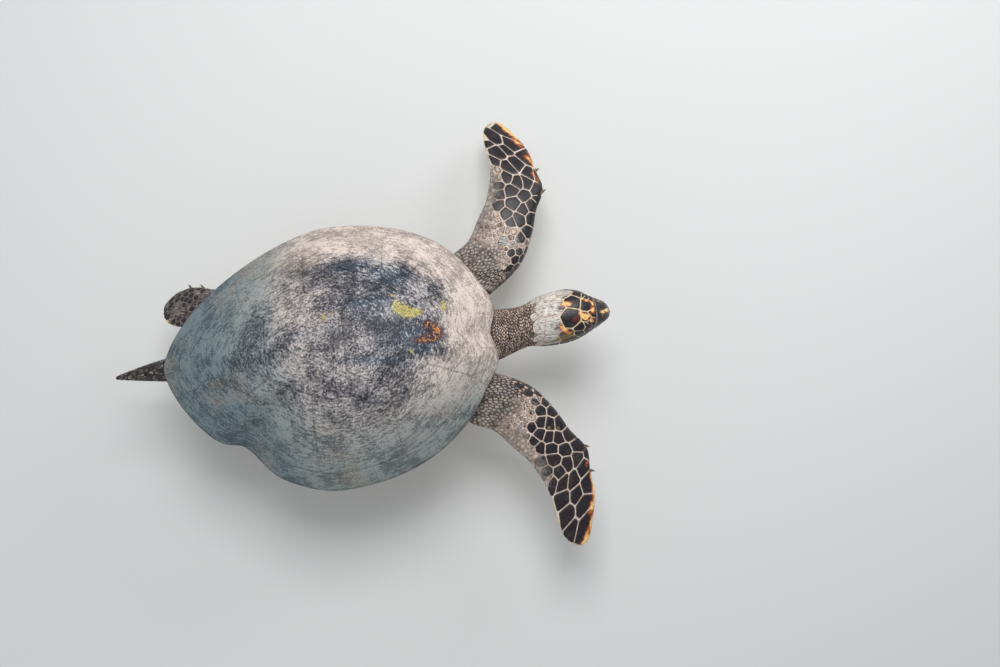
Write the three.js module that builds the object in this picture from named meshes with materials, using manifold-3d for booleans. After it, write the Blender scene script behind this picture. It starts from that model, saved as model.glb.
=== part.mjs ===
// A life-size still model of an adult male hawksbill sea turtle, banking a little to its left as it
// glides, held over a flat base by two short rods. Millimetres, +Z up, +X towards the beak, +Y to the
// turtle's left.
// The origin is the centre of the base's underside.
import * as THREE from "three";
import { mergeVertices } from "three/addons/utils/BufferGeometryUtils.js";
import Module from "manifold-3d";

const wasm = await Module();
wasm.setup();

// ---------------------------------------------------------------- driving dimensions
const HALF_LENGTH = 375; // half of the straight length of the carapace
const MARGIN_HEIGHT = 270; // the carapace's rim over the floor
const BANK = THREE.MathUtils.degToRad(9); // the left side is the lower one
const GAP = 0.5; // between two pieces that touch

// The dome over the plane of its rim. Its crown lies `centre` in front of the middle, and the two powers
// give the curve of its sides.
const DOME = { height: 158, centre: 55, fall: 2.1, round: 0.93 };
const SHELL = { rim: 15, wall: 17, lip: 0.84 }; // thickness at rim and crown; the body starts at the lip

const BELLY = -84; // the plastron's underside, from the rim plane
const PLASTRON = { front: 285, rear: -292, lobe: 106, bridge: 244, rise: 36, thickness: 13 };
const BRIDGE = { rear: [-190, -100], front: [95, 175] }; // where the plastron widens to reach the rim

const ARM_ROOT = { x: 340, y: 156, z: -46 };
const ARM_LENGTH = 400;
const ELBOW = 130; // from the arm's root; the blade bends down from here on
const LEG_ROOT = { x: -198, y: 118, z: -44 };
const LEG_LENGTH = 200;
const TAIL = { root: -262, tip: -503, width: 46, height: 34, level: -34, aside: 6, dip: 8 };
const EYE = { x: 589, y: 29, z: 2, radius: 14 };
const BROW = { at: 582, length: 21, lean: 44, width: 24, swell: 0.075 }; // the ridge over each eye
const BEAK = { top: 613, slant: -0.42 }; // where the horn starts on the snout, and how its edge leans
const MOUTH = { height: -22.5, slope: -0.02, cheek: 590, chin: 637 };
const CLAWS = { length: 14, root: 5, sunk: 7, hook: 7, front: [208, 262], rear: [112, 142] };
const STAND = { length: 460, width: 330, thickness: 22, corner: 40, rod: 11, reach: 125 };

// How each limb is held, in degrees: the sweep forwards from straight out, how far it droops from the root,
// the twist of the blade, and the curl that bends it down between the elbow and the tip. The reach, in
// millimetres, is how far the shoulder or hip is stretched out.
const POSE = {
  armLeft: { sweep: 14, droop: -1, twist: 9, curl: 34, reach: 12 },
  armRight: { sweep: 27.5, droop: 9, twist: 9, curl: 8, reach: 0 },
  legLeft: { sweep: -78, droop: 8, twist: 12, curl: 10, reach: 0 },
  legRight: { sweep: -103, droop: 34, twist: 28, curl: 10, reach: 0 },
};

// ---------------------------------------------------------------- helpers
const rad = THREE.MathUtils.degToRad;
const bell = (distance, width) => Math.exp(-((distance / width) ** 2));
const power = (value, exponent) => Math.sign(value) * Math.abs(value) ** exponent;
const steps = (count, make) => Array.from({ length: count }, (_, i) => make(i / (count - 1)));
const around = (count, make) => Array.from({ length: count }, (_, i) => make((2 * Math.PI * i) / count));

function smooth(low, high, value) {
  const t = THREE.MathUtils.clamp((value - low) / (high - low), 0, 1);
  return t * t * (3 - 2 * t);
}

// A smooth curve through the stations' values of one key: cubic spans, each end of which has the slope of
// the chord between its neighbours.
function through(stations, key) {
  const last = stations.length - 1;
  const slope = (i) => {
    const [a, b] = [stations[Math.max(i - 1, 0)], stations[Math.min(i + 1, last)]];
    return (b[key] - a[key]) / (b.at - a.at);
  };
  return (at) => {
    let i = 0;
    while (i < last - 1 && at > stations[i + 1].at) i += 1;
    const [a, b] = [stations[i], stations[i + 1]];
    const span = b.at - a.at;
    const t = THREE.MathUtils.clamp((at - a.at) / span, 0, 1);
    const [t2, t3] = [t * t, t * t * t];
    return (
      (2 * t3 - 3 * t2 + 1) * a[key] +
      (t3 - 2 * t2 + t) * span * slope(i) +
      (3 * t2 - 2 * t3) * b[key] +
      (t3 - t2) * span * slope(i + 1)
    );
  };
}

// Rings of [x, y, z] points, all of one length, skinned into a closed geometry. A ring of one point is a
// pole.
function skinned(rings) {
  const positions = rings.flat(2);
  const index = [];
  const starts = rings.map((_, r) => rings.slice(0, r).reduce((sum, ring) => sum + ring.length, 0));
  const middle = (ring) => [0, 1, 2].map((k) => ring.reduce((sum, p) => sum + p[k], 0) / ring.length);
  const fan = (start, count, tip, forwards) => {
    for (let i = 0; i < count; i += 1) {
      const [a, b] = [start + i, start + ((i + 1) % count)];
      index.push(tip, ...(forwards ? [a, b] : [b, a]));
    }
  };
  for (let r = 0; r + 1 < rings.length; r += 1) {
    const [near, far] = [rings[r], rings[r + 1]];
    if (near.length === 1) fan(starts[r + 1], far.length, starts[r], false);
    else if (far.length === 1) fan(starts[r], near.length, starts[r + 1], true);
    else {
      for (let i = 0; i < near.length; i += 1) {
        const j = (i + 1) % near.length;
        const [a, b, c, d] = [starts[r] + i, starts[r] + j, starts[r + 1] + i, starts[r + 1] + j];
        index.push(a, b, d, a, d, c);
      }
    }
  }
  for (const r of [0, rings.length - 1]) {
    if (rings[r].length === 1) continue;
    fan(starts[r], rings[r].length, positions.length / 3, r > 0);
    positions.push(...middle(rings[r]));
  }
  const geometry = new THREE.BufferGeometry();
  geometry.setAttribute("position", new THREE.Float32BufferAttribute(positions, 3));
  geometry.setIndex(index);
  return facingOut(geometry);
}

// Turns every face round if the closed geometry holds a negative volume.
function facingOut(geometry) {
  const [p, index] = [geometry.getAttribute("position"), geometry.getIndex()];
  const corner = (i) => new THREE.Vector3().fromBufferAttribute(p, index.getX(i));
  let volume = 0;
  for (let i = 0; i < index.count; i += 3) volume += corner(i).dot(corner(i + 1).cross(corner(i + 2)));
  if (volume < 0) geometry.setIndex([...index.array].reverse());
  return geometry;
}

function solidOf(geometry) {
  const bare = geometry.clone().deleteAttribute("normal").deleteAttribute("uv");
  const merged = mergeVertices(bare, 1e-3);
  const vertProperties = merged.getAttribute("position").array;
  return new wasm.Manifold(
    new wasm.Mesh({ numProp: 3, vertProperties, triVerts: new Uint32Array(merged.getIndex().array) }),
  );
}

// The largest single body of a solid, as a geometry.
function geometryOf(solid) {
  const bodies = solid.decompose().sort((a, b) => b.volume() - a.volume());
  const mesh = bodies[0].getMesh();
  const positions = [];
  for (let i = 0; i < mesh.numVert; i += 1) {
    positions.push(...mesh.vertProperties.subarray(i * mesh.numProp, i * mesh.numProp + 3));
  }
  const geometry = new THREE.BufferGeometry();
  geometry.setAttribute("position", new THREE.Float32BufferAttribute(positions, 3));
  geometry.setIndex([...mesh.triVerts]);
  return geometry;
}

// The geometry's solid with its skin moved out by the gap, for cutting a neighbour so that they only just
// part.
function grown(geometry, by = GAP) {
  const bare = geometry.clone().deleteAttribute("normal").deleteAttribute("uv");
  const merged = mergeVertices(bare, 1e-3);
  merged.computeVertexNormals();
  const [p, n] = [merged.getAttribute("position"), merged.getAttribute("normal")];
  for (let i = 0; i < p.count; i += 1) {
    p.setXYZ(i, p.getX(i) + by * n.getX(i), p.getY(i) + by * n.getY(i), p.getZ(i) + by * n.getZ(i));
  }
  return solidOf(merged);
}

// All of space, as far as it matters here, on the far side of a plane through a point with this normal.
function beyond(point, normal) {
  const size = 1200;
  const up = new THREE.Vector3(0, 0, 1);
  const turn = new THREE.Quaternion().setFromUnitVectors(up, normal.clone().normalize());
  const block = new THREE.BoxGeometry(size, size, size).translate(0, 0, size / 2);
  return solidOf(block.applyQuaternion(turn).translate(...point));
}

// ---------------------------------------------------------------- shell
// The rim seen from above, at an angle round from the nape: a half of a rounded egg for each side, with the
// hollow over the neck and, on the right, the healed dent behind the hip.
const SIDES = {
  left: { half: 294, widest: 15, front: 2.28, rear: 1.52 },
  right: { half: 314, widest: -8, front: 2.08, rear: 1.54 },
};
const NAPE = { depth: 6, width: 23 };
const SHOULDER = { out: 14, at: 68, width: 40 };
const DENT = { depth: 34, at: -204, width: 42 };
const RIM_LIFT = { neck: 16, rear: 6, flank: -16 };

function rim(angle) {
  const [c, s] = [Math.cos(angle), Math.sin(angle)];
  const side = s >= 0 ? SIDES.left : SIDES.right;
  const exponent = 2 / (c >= 0 ? side.front : side.rear);
  const reachX = c >= 0 ? HALF_LENGTH - side.widest : HALF_LENGTH + side.widest;
  let x = side.widest + reachX * power(c, exponent);
  let y = side.half * power(s, exponent);
  const shoulder = SHOULDER.out * bell(Math.abs(y) - SHOULDER.at, SHOULDER.width);
  if (c > 0) x += shoulder - NAPE.depth * bell(y, NAPE.width);
  if (s < 0 && c < 0) y += DENT.depth * bell(x - DENT.at, DENT.width);
  return [x, y];
}

// The rim's own height: high over the neck, low along the flanks.
function rimHeight(x, y) {
  const ends = RIM_LIFT.neck * smooth(150, HALF_LENGTH, x) + RIM_LIFT.rear * smooth(-200, -HALF_LENGTH, x);
  return ends + RIM_LIFT.flank * smooth(120, 300, Math.abs(y));
}

// A point of the shell's outer face, or of a face that lies `drop` below it. The share is 0 at the crown
// and 1 at the rim.
function shellPoint(share, angle, drop = 0) {
  const [rx, ry] = rim(angle);
  const x = DOME.centre + (rx - DOME.centre) * share;
  const y = ry * share;
  const dome = DOME.height * (1 - share ** DOME.fall) ** DOME.round;
  return [x, y, dome + rimHeight(rx, ry) * share ** 2 - drop];
}

// The inner face: a flat shelf all round behind the rim, which turns up into the dome at the lip.
function innerPoint(share, angle) {
  const [x, y, domed] = shellPoint(share, angle, SHELL.wall);
  const shelf = rimHeight(...rim(angle)) - SHELL.rim;
  const up = smooth(SHELL.lip, SHELL.lip - 0.12, share);
  return [x, y, shelf + (domed - shelf) * up];
}

const SHELL_AROUND = 44;
const SHELL_SHELF = [0.99, 0.93];
const SHELL_INNER = [SHELL.lip, 0.78, 0.68, 0.4];

function carapace() {
  const outer = [0.22, 0.42, 0.6, 0.75, 0.87, 0.95, 0.99];
  const inner = [...SHELL_SHELF, ...SHELL_INNER];
  return skinned([
    [shellPoint(0, 0)],
    ...outer.map((share) => around(SHELL_AROUND, (angle) => shellPoint(share, angle))),
    around(SHELL_AROUND, (angle) => shellPoint(1, angle, SHELL.rim * 0.4)),
    ...inner.map((share) => around(SHELL_AROUND, (angle) => innerPoint(share, angle))),
    [innerPoint(0, 0)],
  ]);
}

// The belly's height over the ground plan: flat in the middle, and rising on each flank towards the rim.
const belly = (y) => BELLY + PLASTRON.rise * smooth(90, 235, Math.abs(y));

// The plastron: a plate with a rounded lobe at each end, and a bridge on each flank that turns up to the
// carapace.
function plastronPoint(share, angle, lift) {
  const [c, s] = [Math.cos(angle), Math.sin(angle)];
  const x = (PLASTRON.front + PLASTRON.rear) / 2 + ((PLASTRON.front - PLASTRON.rear) / 2) * c;
  const bridged = smooth(...BRIDGE.rear, x) - smooth(...BRIDGE.front, x);
  const half = PLASTRON.lobe * Math.abs(s) ** 0.8 + (PLASTRON.bridge - PLASTRON.lobe) * bridged;
  const y = Math.sign(s) * half * share;
  const hollow = 5 * (1 - share ** 2);
  return [x * share, y, belly(y) + hollow + 4 * share ** 4 + lift];
}

function plastron() {
  const AROUND = 40;
  const under = [0.4, 0.65, 0.85, 0.99];
  const over = [0.99, 0.82, 0.62, 0.4];
  const centre = plastronPoint(0, 0, 0);
  return skinned([
    [centre],
    ...under.map((share) => around(AROUND, (angle) => plastronPoint(share, angle, 0))),
    ...over.map((share) => around(AROUND, (angle) => plastronPoint(share, angle, PLASTRON.thickness))),
    [[centre[0], centre[1], centre[2] + PLASTRON.thickness]],
  ]);
}

// ---------------------------------------------------------------- body
// The trunk fills the shell: its top lies just under the carapace's inner face, and its underside inside
// the plastron.
function trunk() {
  const CLEAR = 1.5;
  const top = (share) => around(SHELL_AROUND, (angle) => {
    const [x, y, z] = innerPoint(share, angle);
    return [x, y, z - CLEAR];
  });
  const under = (share) => around(SHELL_AROUND, (angle) => {
    const [x, y] = shellPoint(share, angle);
    return [x, y, belly(y) + PLASTRON.thickness / 2];
  });
  const crown = innerPoint(0, 0);
  return skinned([
    [[crown[0], crown[1], crown[2] - CLEAR]],
    ...[...SHELL_INNER].reverse().map(top),
    ...[0.8, 0.6, 0.35].map(under),
    [[DOME.centre, 0, BELLY + PLASTRON.thickness / 2]],
  ]);
}

// Neck and head as one run of sections along x: half width, top, bottom, the level of the widest place and
// how far the middle lies to the left.
const HEAD = [
  { at: 250, half: 72, top: -10, bottom: -90, level: -52, aside: 0 },
  { at: 345, half: 68, top: -8, bottom: -90, level: -50, aside: 0 },
  { at: 385, half: 59, top: -2, bottom: -86, level: -46, aside: 3 },
  { at: 430, half: 50, top: 8, bottom: -76, level: -38, aside: 9 },
  { at: 456, half: 49, top: 17, bottom: -72, level: -33, aside: 14 },
  { at: 488, half: 58, top: 31, bottom: -70, level: -30, aside: 19 },
  { at: 522, half: 61, top: 37, bottom: -67, level: -28, aside: 22 },
  { at: 552, half: 60, top: 38, bottom: -62, level: -23, aside: 24 },
  { at: 580, half: 51, top: 34, bottom: -55, level: -18, aside: 24 },
  { at: 604, half: 38, top: 21, bottom: -47, level: -16.5, aside: 24 },
  { at: 622, half: 29, top: 10, bottom: -40.5, level: -16, aside: 24 },
  { at: 636, half: 21.5, top: -1.5, bottom: -34.5, level: -17, aside: 24 },
  { at: 645, half: 14, top: -12.5, bottom: -33.5, level: -21, aside: 24 },
  { at: 649, half: 6, top: -23, bottom: -33.5, level: -28, aside: 24 },
];
const HEAD_ROLL = rad(4);

function headSection(x, AROUND) {
  const [half, top, bottom, level, aside] = ["half", "top", "bottom", "level", "aside"].map(
    (key) => through(HEAD, key)(x),
  );
  const roll = HEAD_ROLL * smooth(380, 480, x);
  const [c, s] = [Math.cos(roll), Math.sin(roll)];
  return around(AROUND, (angle) => {
    const lean = Math.abs(angle - Math.PI / 2) - rad(BROW.lean);
    const swell = 1 + BROW.swell * bell(x - BROW.at, BROW.length) * bell(lean, rad(BROW.width));
    const y = swell * half * power(Math.cos(angle), 0.9);
    const up = swell * power(Math.sin(angle), 0.94);
    const z = up * (up > 0 ? top - level : level - bottom);
    return [x, aside + y * c + z * s, level + z * c - y * s];
  });
}

const NECK_PLACES = [296, 330, 362, 395, 430, 464];
const HEAD_PLACES = [464.4, 480, 500, 522, 546, 568, 588, 605, 620, 632, 641, 646.5, 649];
const headRun = (places) => skinned(places.map((x) => headSection(x, 24)));

// A limb lies in its own frame: `along` from root to tip, `across` towards its leading edge, `up` through
// it.
function limbFrame(root, { sweep, droop, twist, curl, reach }, side) {
  const bend = rad(curl) / (ARM_LENGTH - ELBOW);
  const [a, d, t] = [rad(90 - sweep), rad(droop), rad(twist)];
  const along = new THREE.Vector3(Math.cos(a) * Math.cos(d), Math.sin(a) * Math.cos(d), -Math.sin(d));
  const level = new THREE.Vector3(Math.sin(a), -Math.cos(a), 0);
  const rise = new THREE.Vector3().crossVectors(level, along);
  const across = level.clone().multiplyScalar(Math.cos(t)).addScaledVector(rise, -Math.sin(t));
  const up = level.clone().multiplyScalar(Math.sin(t)).addScaledVector(rise, Math.cos(t));
  const origin = new THREE.Vector3(root.x, root.y, root.z).addScaledVector(along, reach);
  const mirror = (v) => new THREE.Vector3(v.x, v.y * side, v.z);
  // Past the elbow the middle line runs on an arc, and a section turns with it.
  const place = (s, q, h) => {
    const turn = bend * Math.max(0, s - ELBOW);
    const out = turn > 0 ? ELBOW + Math.sin(turn) / bend : s;
    const down = turn > 0 ? (1 - Math.cos(turn)) / bend : 0;
    const point = origin.clone().addScaledVector(along, out + h * Math.sin(turn));
    return mirror(point.addScaledVector(across, q).addScaledVector(up, h * Math.cos(turn) - down));
  };
  return { place, along: mirror(along), across: mirror(across), up: mirror(up) };
}

// Stations along a limb: leading and trailing edge and thickness. The section is a teardrop, thick in
// front.
const ARM = [
  { at: -130, lead: 40, trail: -62, thick: 66 },
  { at: -60, lead: 52, trail: -70, thick: 74 },
  { at: -20, lead: 84, trail: -64, thick: 74 },
  { at: 20, lead: 111, trail: -50, thick: 66 },
  { at: 60, lead: 124, trail: -18, thick: 54 },
  { at: 110, lead: 131, trail: -4, thick: 42 },
  { at: 160, lead: 133, trail: 10, thick: 33 },
  { at: 200, lead: 142, trail: 13, thick: 27 },
  { at: 225, lead: 141, trail: 13, thick: 24 },
  { at: 262, lead: 122, trail: 8, thick: 20 },
  { at: 320, lead: 98, trail: -10, thick: 14 },
  { at: 360, lead: 65, trail: -15, thick: 11 },
  { at: 385, lead: 43, trail: -4, thick: 8 },
  { at: ARM_LENGTH, lead: 24, trail: 10, thick: 5 },
];
const LEG = [
  { at: -80, lead: 34, trail: -34, thick: 56 },
  { at: -20, lead: 40, trail: -42, thick: 54 },
  { at: 40, lead: 48, trail: -40, thick: 40 },
  { at: 90, lead: 56, trail: -42, thick: 26 },
  { at: 135, lead: 57, trail: -46, thick: 18 },
  { at: 170, lead: 44, trail: -42, thick: 12 },
  { at: 190, lead: 24, trail: -28, thick: 8 },
  { at: LEG_LENGTH, lead: 4, trail: -8, thick: 5 },
];

function limb(stations, places, frame, AROUND) {
  const [lead, trail, thick] = ["lead", "trail", "thick"].map((key) => through(stations, key));
  return skinned(places.map((s) => {
    const [middle, half] = [(lead(s) + trail(s)) / 2, (lead(s) - trail(s)) / 2];
    return around(AROUND, (angle) => {
      const c = Math.cos(angle);
      const h = (thick(s) / 2) * Math.sin(angle) * (1 + 0.42 * c);
      return frame.place(s, middle + half * power(c, 0.9), h).toArray();
    });
  }));
}

const SHOULDER_PLACES = [-130, -90, -55, -30];
const ARM_PLACES = [-32, 0, 30, 60, 90, 125, 162, 192, 212, 232, 262, 295, 325, 352, 374, 390, ARM_LENGTH];
const LEG_PLACES = [-60, -20, 15, 50, 90, 125, 155, 175, 190, LEG_LENGTH];

function tail() {
  const AROUND = 14;
  const length = TAIL.root - TAIL.tip;
  return skinned(steps(8, (t) => {
    const taper = 0.93 * (1 - t) ** 0.85 + 0.07;
    return around(AROUND, (angle) => [
      TAIL.root - length * t,
      TAIL.aside * (1 - t * t) + TAIL.width * taper * Math.cos(angle),
      TAIL.level - TAIL.dip * t * t + TAIL.height * taper * Math.sin(angle),
    ]);
  }));
}

// A claw: a short hooked cone whose root is sunk into the leading edge.
function claw(frame, at, lead) {
  const AROUND = 7;
  const reach = CLAWS.length + CLAWS.root;
  const hook = (t) => frame.place(at + CLAWS.hook * t * t, lead - CLAWS.sunk + reach * t, 0);
  return skinned(steps(4, (t) => {
    const centre = hook(t);
    const width = CLAWS.root * (1 - t) ** 0.7 + 0.5;
    return around(AROUND, (angle) => centre.clone()
      .addScaledVector(frame.along, width * Math.cos(angle))
      .addScaledVector(frame.up, width * 0.6 * Math.sin(angle)).toArray());
  }));
}

// ---------------------------------------------------------------- the pieces
// They are listed from the hardest to the softest, and each is cut back from all those before it.
const pieces = {};
const cutters = [];

function addPiece(name, slot, geometry, solid = solidOf(geometry)) {
  const cut = cutters.reduce((left, cutter) => left.subtract(cutter), solid);
  pieces[name] = { geometry: geometryOf(cut), slot };
  cutters.push(grown(geometry));
}

addPiece("carapace", "scute", carapace());
addPiece("plastron", "plastron", plastron());

const FRONT = { stations: ARM, places: ARM_PLACES, root: ARM_ROOT, claws: CLAWS.front, sides: 18 };
const REAR = { stations: LEG, places: LEG_PLACES, root: LEG_ROOT, claws: CLAWS.rear, sides: 14 };
const limbs = [
  { ...FRONT, name: "front_flipper_left", pose: POSE.armLeft, side: 1 },
  { ...FRONT, name: "front_flipper_right", pose: POSE.armRight, side: -1 },
  { ...REAR, name: "rear_flipper_left", pose: POSE.legLeft, side: 1 },
  { ...REAR, name: "rear_flipper_right", pose: POSE.legRight, side: -1 },
];
for (const { name, stations, root, claws, pose, side } of limbs) {
  const frame = limbFrame(root, pose, side);
  claws.forEach((at, i) => {
    addPiece(`${name}_claw_${i + 1}`, "horn", claw(frame, at, through(stations, "lead")(at)));
  });
}

for (const [hand, side] of [["left", 1], ["right", -1]]) {
  const aside = through(HEAD, "aside")(EYE.x) + EYE.z * Math.sin(HEAD_ROLL);
  const centre = [EYE.x, aside + side * EYE.y, EYE.z - side * EYE.y * Math.sin(HEAD_ROLL)];
  const ball = new THREE.IcosahedronGeometry(EYE.radius, 2).translate(...centre);
  addPiece(`eye_${hand}`, "eye", mergeVertices(ball.deleteAttribute("normal").deleteAttribute("uv")));
}

addPiece("head", "skin", headRun(HEAD_PLACES));
addPiece("neck", "skin", headRun(NECK_PLACES));
for (const { name, stations, places, root, sides, pose, side } of limbs) {
  addPiece(name, "skin", limb(stations, places, limbFrame(root, pose, side), sides));
}
addPiece("tail", "skin", tail());

const shoulders = limbs
  .filter(({ stations }) => stations === ARM)
  .map(({ root, pose, side }) => limb(ARM, SHOULDER_PLACES, limbFrame(root, pose, side), FRONT.sides));
const body = trunk();
const shouldered = shoulders.reduce((sum, geometry) => sum.add(solidOf(geometry)), solidOf(body));
addPiece("trunk", "skin", body, shouldered);

// The beak is the horn at the front of the head: a slanting face parts it off, and the mouth parts it in
// two. The lower half is the shorter, so that the upper one closes over its tip.
const headSolid = solidOf(pieces.head.geometry);
const vector = (...values) => new THREE.Vector3(...values);
const SNOUT_TOP = 18; // the height at which the horn starts at BEAK.top
const below = (back) => beyond(vector(MOUTH.cheek, 0, MOUTH.height - back), vector(MOUTH.slope, 0, -1));
const behind = (x) => beyond(vector(x, 0, 0), vector(-1, 0, 0));
const ahead = (x) => beyond(vector(x, 0, 0), vector(1, 0, 0));
function jawSpace(back) {
  return below(back).intersect(behind(MOUTH.chin - back)).intersect(ahead(MOUTH.cheek + back));
}
function snoutSpace(back) {
  const front = beyond(vector(BEAK.top + back, 0, SNOUT_TOP), vector(1, 0, BEAK.slant));
  return front.subtract(below(-back).intersect(behind(MOUTH.chin + back)));
}
pieces.beak_lower = { geometry: geometryOf(headSolid.intersect(jawSpace(GAP / 2))), slot: "beak" };
pieces.beak_upper = { geometry: geometryOf(headSolid.intersect(snoutSpace(GAP / 2))), slot: "beak" };
pieces.head.geometry = geometryOf(headSolid.subtract(snoutSpace(-GAP / 2)).subtract(jawSpace(-GAP / 2)));

// ---------------------------------------------------------------- materials and placing
const MATERIALS = {
  scute: { color: 0x8b949a, roughness: 0.75 },
  plastron: { color: 0xd9c98f, roughness: 0.6 },
  skin: { color: 0x5a554c, roughness: 0.8 },
  beak: { color: 0x8a6a33, roughness: 0.45 },
  horn: { color: 0x6b5436, roughness: 0.5 },
  eye: { color: 0x14100c, roughness: 0.15 },
  wood: { color: 0x3a2a1e, roughness: 0.55 },
  steel: { color: 0x9a9da0, roughness: 0.35, metalness: 0.9 },
};

function meshOf(name, { geometry, slot }) {
  const mesh = new THREE.Mesh(geometry, new THREE.MeshStandardMaterial(MATERIALS[slot]));
  mesh.name = name;
  return mesh;
}

const turtle = new THREE.Group();
turtle.position.z = MARGIN_HEIGHT;
turtle.rotation.x = -BANK;
for (const [name, piece] of Object.entries(pieces)) turtle.add(meshOf(name, piece));
turtle.updateMatrixWorld(true);

// ---------------------------------------------------------------- stand
function standBase() {
  const { length, width, thickness, corner } = STAND;
  const [x, y] = [length / 2, width / 2];
  const outline = new THREE.Shape();
  outline.moveTo(-x + corner, -y);
  outline.lineTo(x - corner, -y);
  outline.absarc(x - corner, -y + corner, corner, -Math.PI / 2, 0);
  outline.absarc(x - corner, y - corner, corner, 0, Math.PI / 2);
  outline.absarc(-x + corner, y - corner, corner, Math.PI / 2, Math.PI);
  outline.absarc(-x + corner, -y + corner, corner, Math.PI, 1.5 * Math.PI);
  return new THREE.ExtrudeGeometry(outline, { depth: thickness, bevelEnabled: false, curveSegments: 8 });
}

// A rod stands on the base and is cut off where it meets the banked plastron.
function standRod() {
  const SPARE = 60; // of its length, so that it is long enough before the cut
  const length = MARGIN_HEIGHT + BELLY + SPARE - STAND.thickness;
  const rod = new THREE.CylinderGeometry(STAND.rod, STAND.rod, length, 20);
  return rod.rotateX(Math.PI / 2).translate(0, 0, length / 2);
}

const bellyAbove = pieces.plastron.geometry.clone().applyMatrix4(turtle.matrixWorld);
const group = new THREE.Group();
group.add(turtle, meshOf("stand_base", { geometry: standBase(), slot: "wood" }));
for (const [name, x] of [["stand_rod_front", STAND.reach], ["stand_rod_rear", -STAND.reach]]) {
  const rod = solidOf(standRod().translate(x, 0, STAND.thickness + GAP));
  const cut = rod.subtract(grown(bellyAbove)).decompose();
  const lowest = cut.sort((a, b) => a.boundingBox().min[2] - b.boundingBox().min[2])[0];
  group.add(meshOf(name, { geometry: geometryOf(lowest), slot: "steel" }));
}

export default group;
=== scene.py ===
# %% [markdown]
# # A hawksbill sea turtle, life size, on a museum stand
# The model is one animal seen from above, banking a little to its left, with a worn shell under a thin
# film of silt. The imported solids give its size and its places. Here every surface is made again, finer:
# one skin for all the flesh, scales that lie on it, horn, eyes, shell plates and the stand.
# Shapes are worked out in millimetres in the turtle's own frame, where +X runs to the beak and +Y to its
# left, and one function turns them into the frame's metres.

import math

import bpy
import numpy as np
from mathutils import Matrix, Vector
from mathutils.bvhtree import BVHTree


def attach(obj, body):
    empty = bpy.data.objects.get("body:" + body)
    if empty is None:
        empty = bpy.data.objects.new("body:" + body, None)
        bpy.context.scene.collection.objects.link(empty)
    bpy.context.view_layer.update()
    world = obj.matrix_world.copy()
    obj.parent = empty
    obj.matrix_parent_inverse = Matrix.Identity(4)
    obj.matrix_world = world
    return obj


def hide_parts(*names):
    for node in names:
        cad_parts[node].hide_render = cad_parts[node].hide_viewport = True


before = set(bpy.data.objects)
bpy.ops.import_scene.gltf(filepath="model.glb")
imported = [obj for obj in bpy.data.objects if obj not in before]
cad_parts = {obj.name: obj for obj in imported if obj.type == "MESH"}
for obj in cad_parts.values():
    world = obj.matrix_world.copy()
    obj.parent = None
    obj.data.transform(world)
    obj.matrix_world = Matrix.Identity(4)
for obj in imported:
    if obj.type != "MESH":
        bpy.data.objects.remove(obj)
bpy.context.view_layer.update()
draws = np.random.default_rng(41)

# %% [markdown]
# ## Camera
# The animal is seen from straight above, as a swimmer sees it. A camera over the shoulders with a normal
# lens shows the whole of it with the head to the right.

# %% Camera
OVER = (0.391, -0.003, 2.570)
TURN = math.radians(-6.4)
LENS = 36.54

camera = bpy.data.objects.new("camera", bpy.data.cameras.new("camera"))
bpy.context.scene.collection.objects.link(camera)
camera.location = OVER
camera.rotation_euler = (0, 0, TURN)
camera.data.lens = LENS
bpy.context.scene.camera = camera
print("camera", OVER)

# %% [markdown]
# ## Curves and the bank
# A body is a run of rings whose sizes follow smooth curves through a few stations. The curves are the
# usual cubic spans, so a station moves only what is near it. The whole animal is tilted at the end,
# which keeps every formula upright.

# %% Curves and the bank
BANK = math.radians(9)
MARGIN_HEIGHT = 270  # how high the shell's margin stands over the floor
MM = 0.001


def bell(distance, width):
    """One at distance nought, falling off as a bell with this width."""
    return np.exp(-((distance / width) ** 2))


def power(value, exponent):
    """A power that keeps the sign of its base."""
    return np.sign(value) * np.abs(value) ** exponent


def smooth(low, high, value):
    """Nought up to `low`, one from `high` on, and an S between; `high` may be the lesser."""
    t = np.clip((value - low) / (high - low), 0, 1)
    return t * t * (3 - 2 * t)


def turns(count):
    """Angles evenly round, from nought to just under a whole turn."""
    return 2 * np.pi * np.arange(count) / count


def xyz(*ways):
    """Points from their coordinates, each an array or one number for all."""
    return np.stack(np.broadcast_arrays(*ways), -1)


def long(vectors):
    """The vectors' lengths, kept as a last way so that the vectors can be divided by them."""
    return np.linalg.norm(vectors, axis=-1, keepdims=True)


def through(stations, column):
    """A curve through one column against the first: cubic spans, each end as steep as its neighbours'
    chord."""
    at, value = stations[:, 0], stations[:, column]
    order = np.arange(len(at))
    before, after = np.maximum(order - 1, 0), np.minimum(order + 1, order[-1])
    slope = (value[after] - value[before]) / (at[after] - at[before])

    def curve(s):
        i = np.clip(np.searchsorted(at, s) - 1, 0, len(at) - 2)
        span = at[i + 1] - at[i]
        t = np.clip((s - at[i]) / span, 0, 1)
        held = (2 * t**3 - 3 * t**2 + 1) * value[i] + (3 * t**2 - 2 * t**3) * value[i + 1]
        return held + span * ((t**3 - 2 * t**2 + t) * slope[i] + (t**3 - t**2) * slope[i + 1])

    return curve


def banked(points):
    """The turtle's millimetres as the frame's metres: turned about X by the bank, then lifted to its
    height."""
    x, y, z = np.moveaxis(np.asarray(points, float), -1, 0)
    c, s = math.cos(BANK), math.sin(BANK)
    return xyz(x, y * c + z * s, MARGIN_HEIGHT - y * s + z * c) * MM


def unbanked(points):
    """The frame's metres back in the turtle's own millimetres."""
    x, y, z = np.moveaxis(points / MM, -1, 0)
    c, s = math.cos(BANK), math.sin(BANK)
    z = z - MARGIN_HEIGHT
    return xyz(x, y * c - z * s, y * s + z * c)


print("the left edge of a 600 mm shell lies", round(banked([0, 300, 0])[2], 3), "m up")

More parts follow.
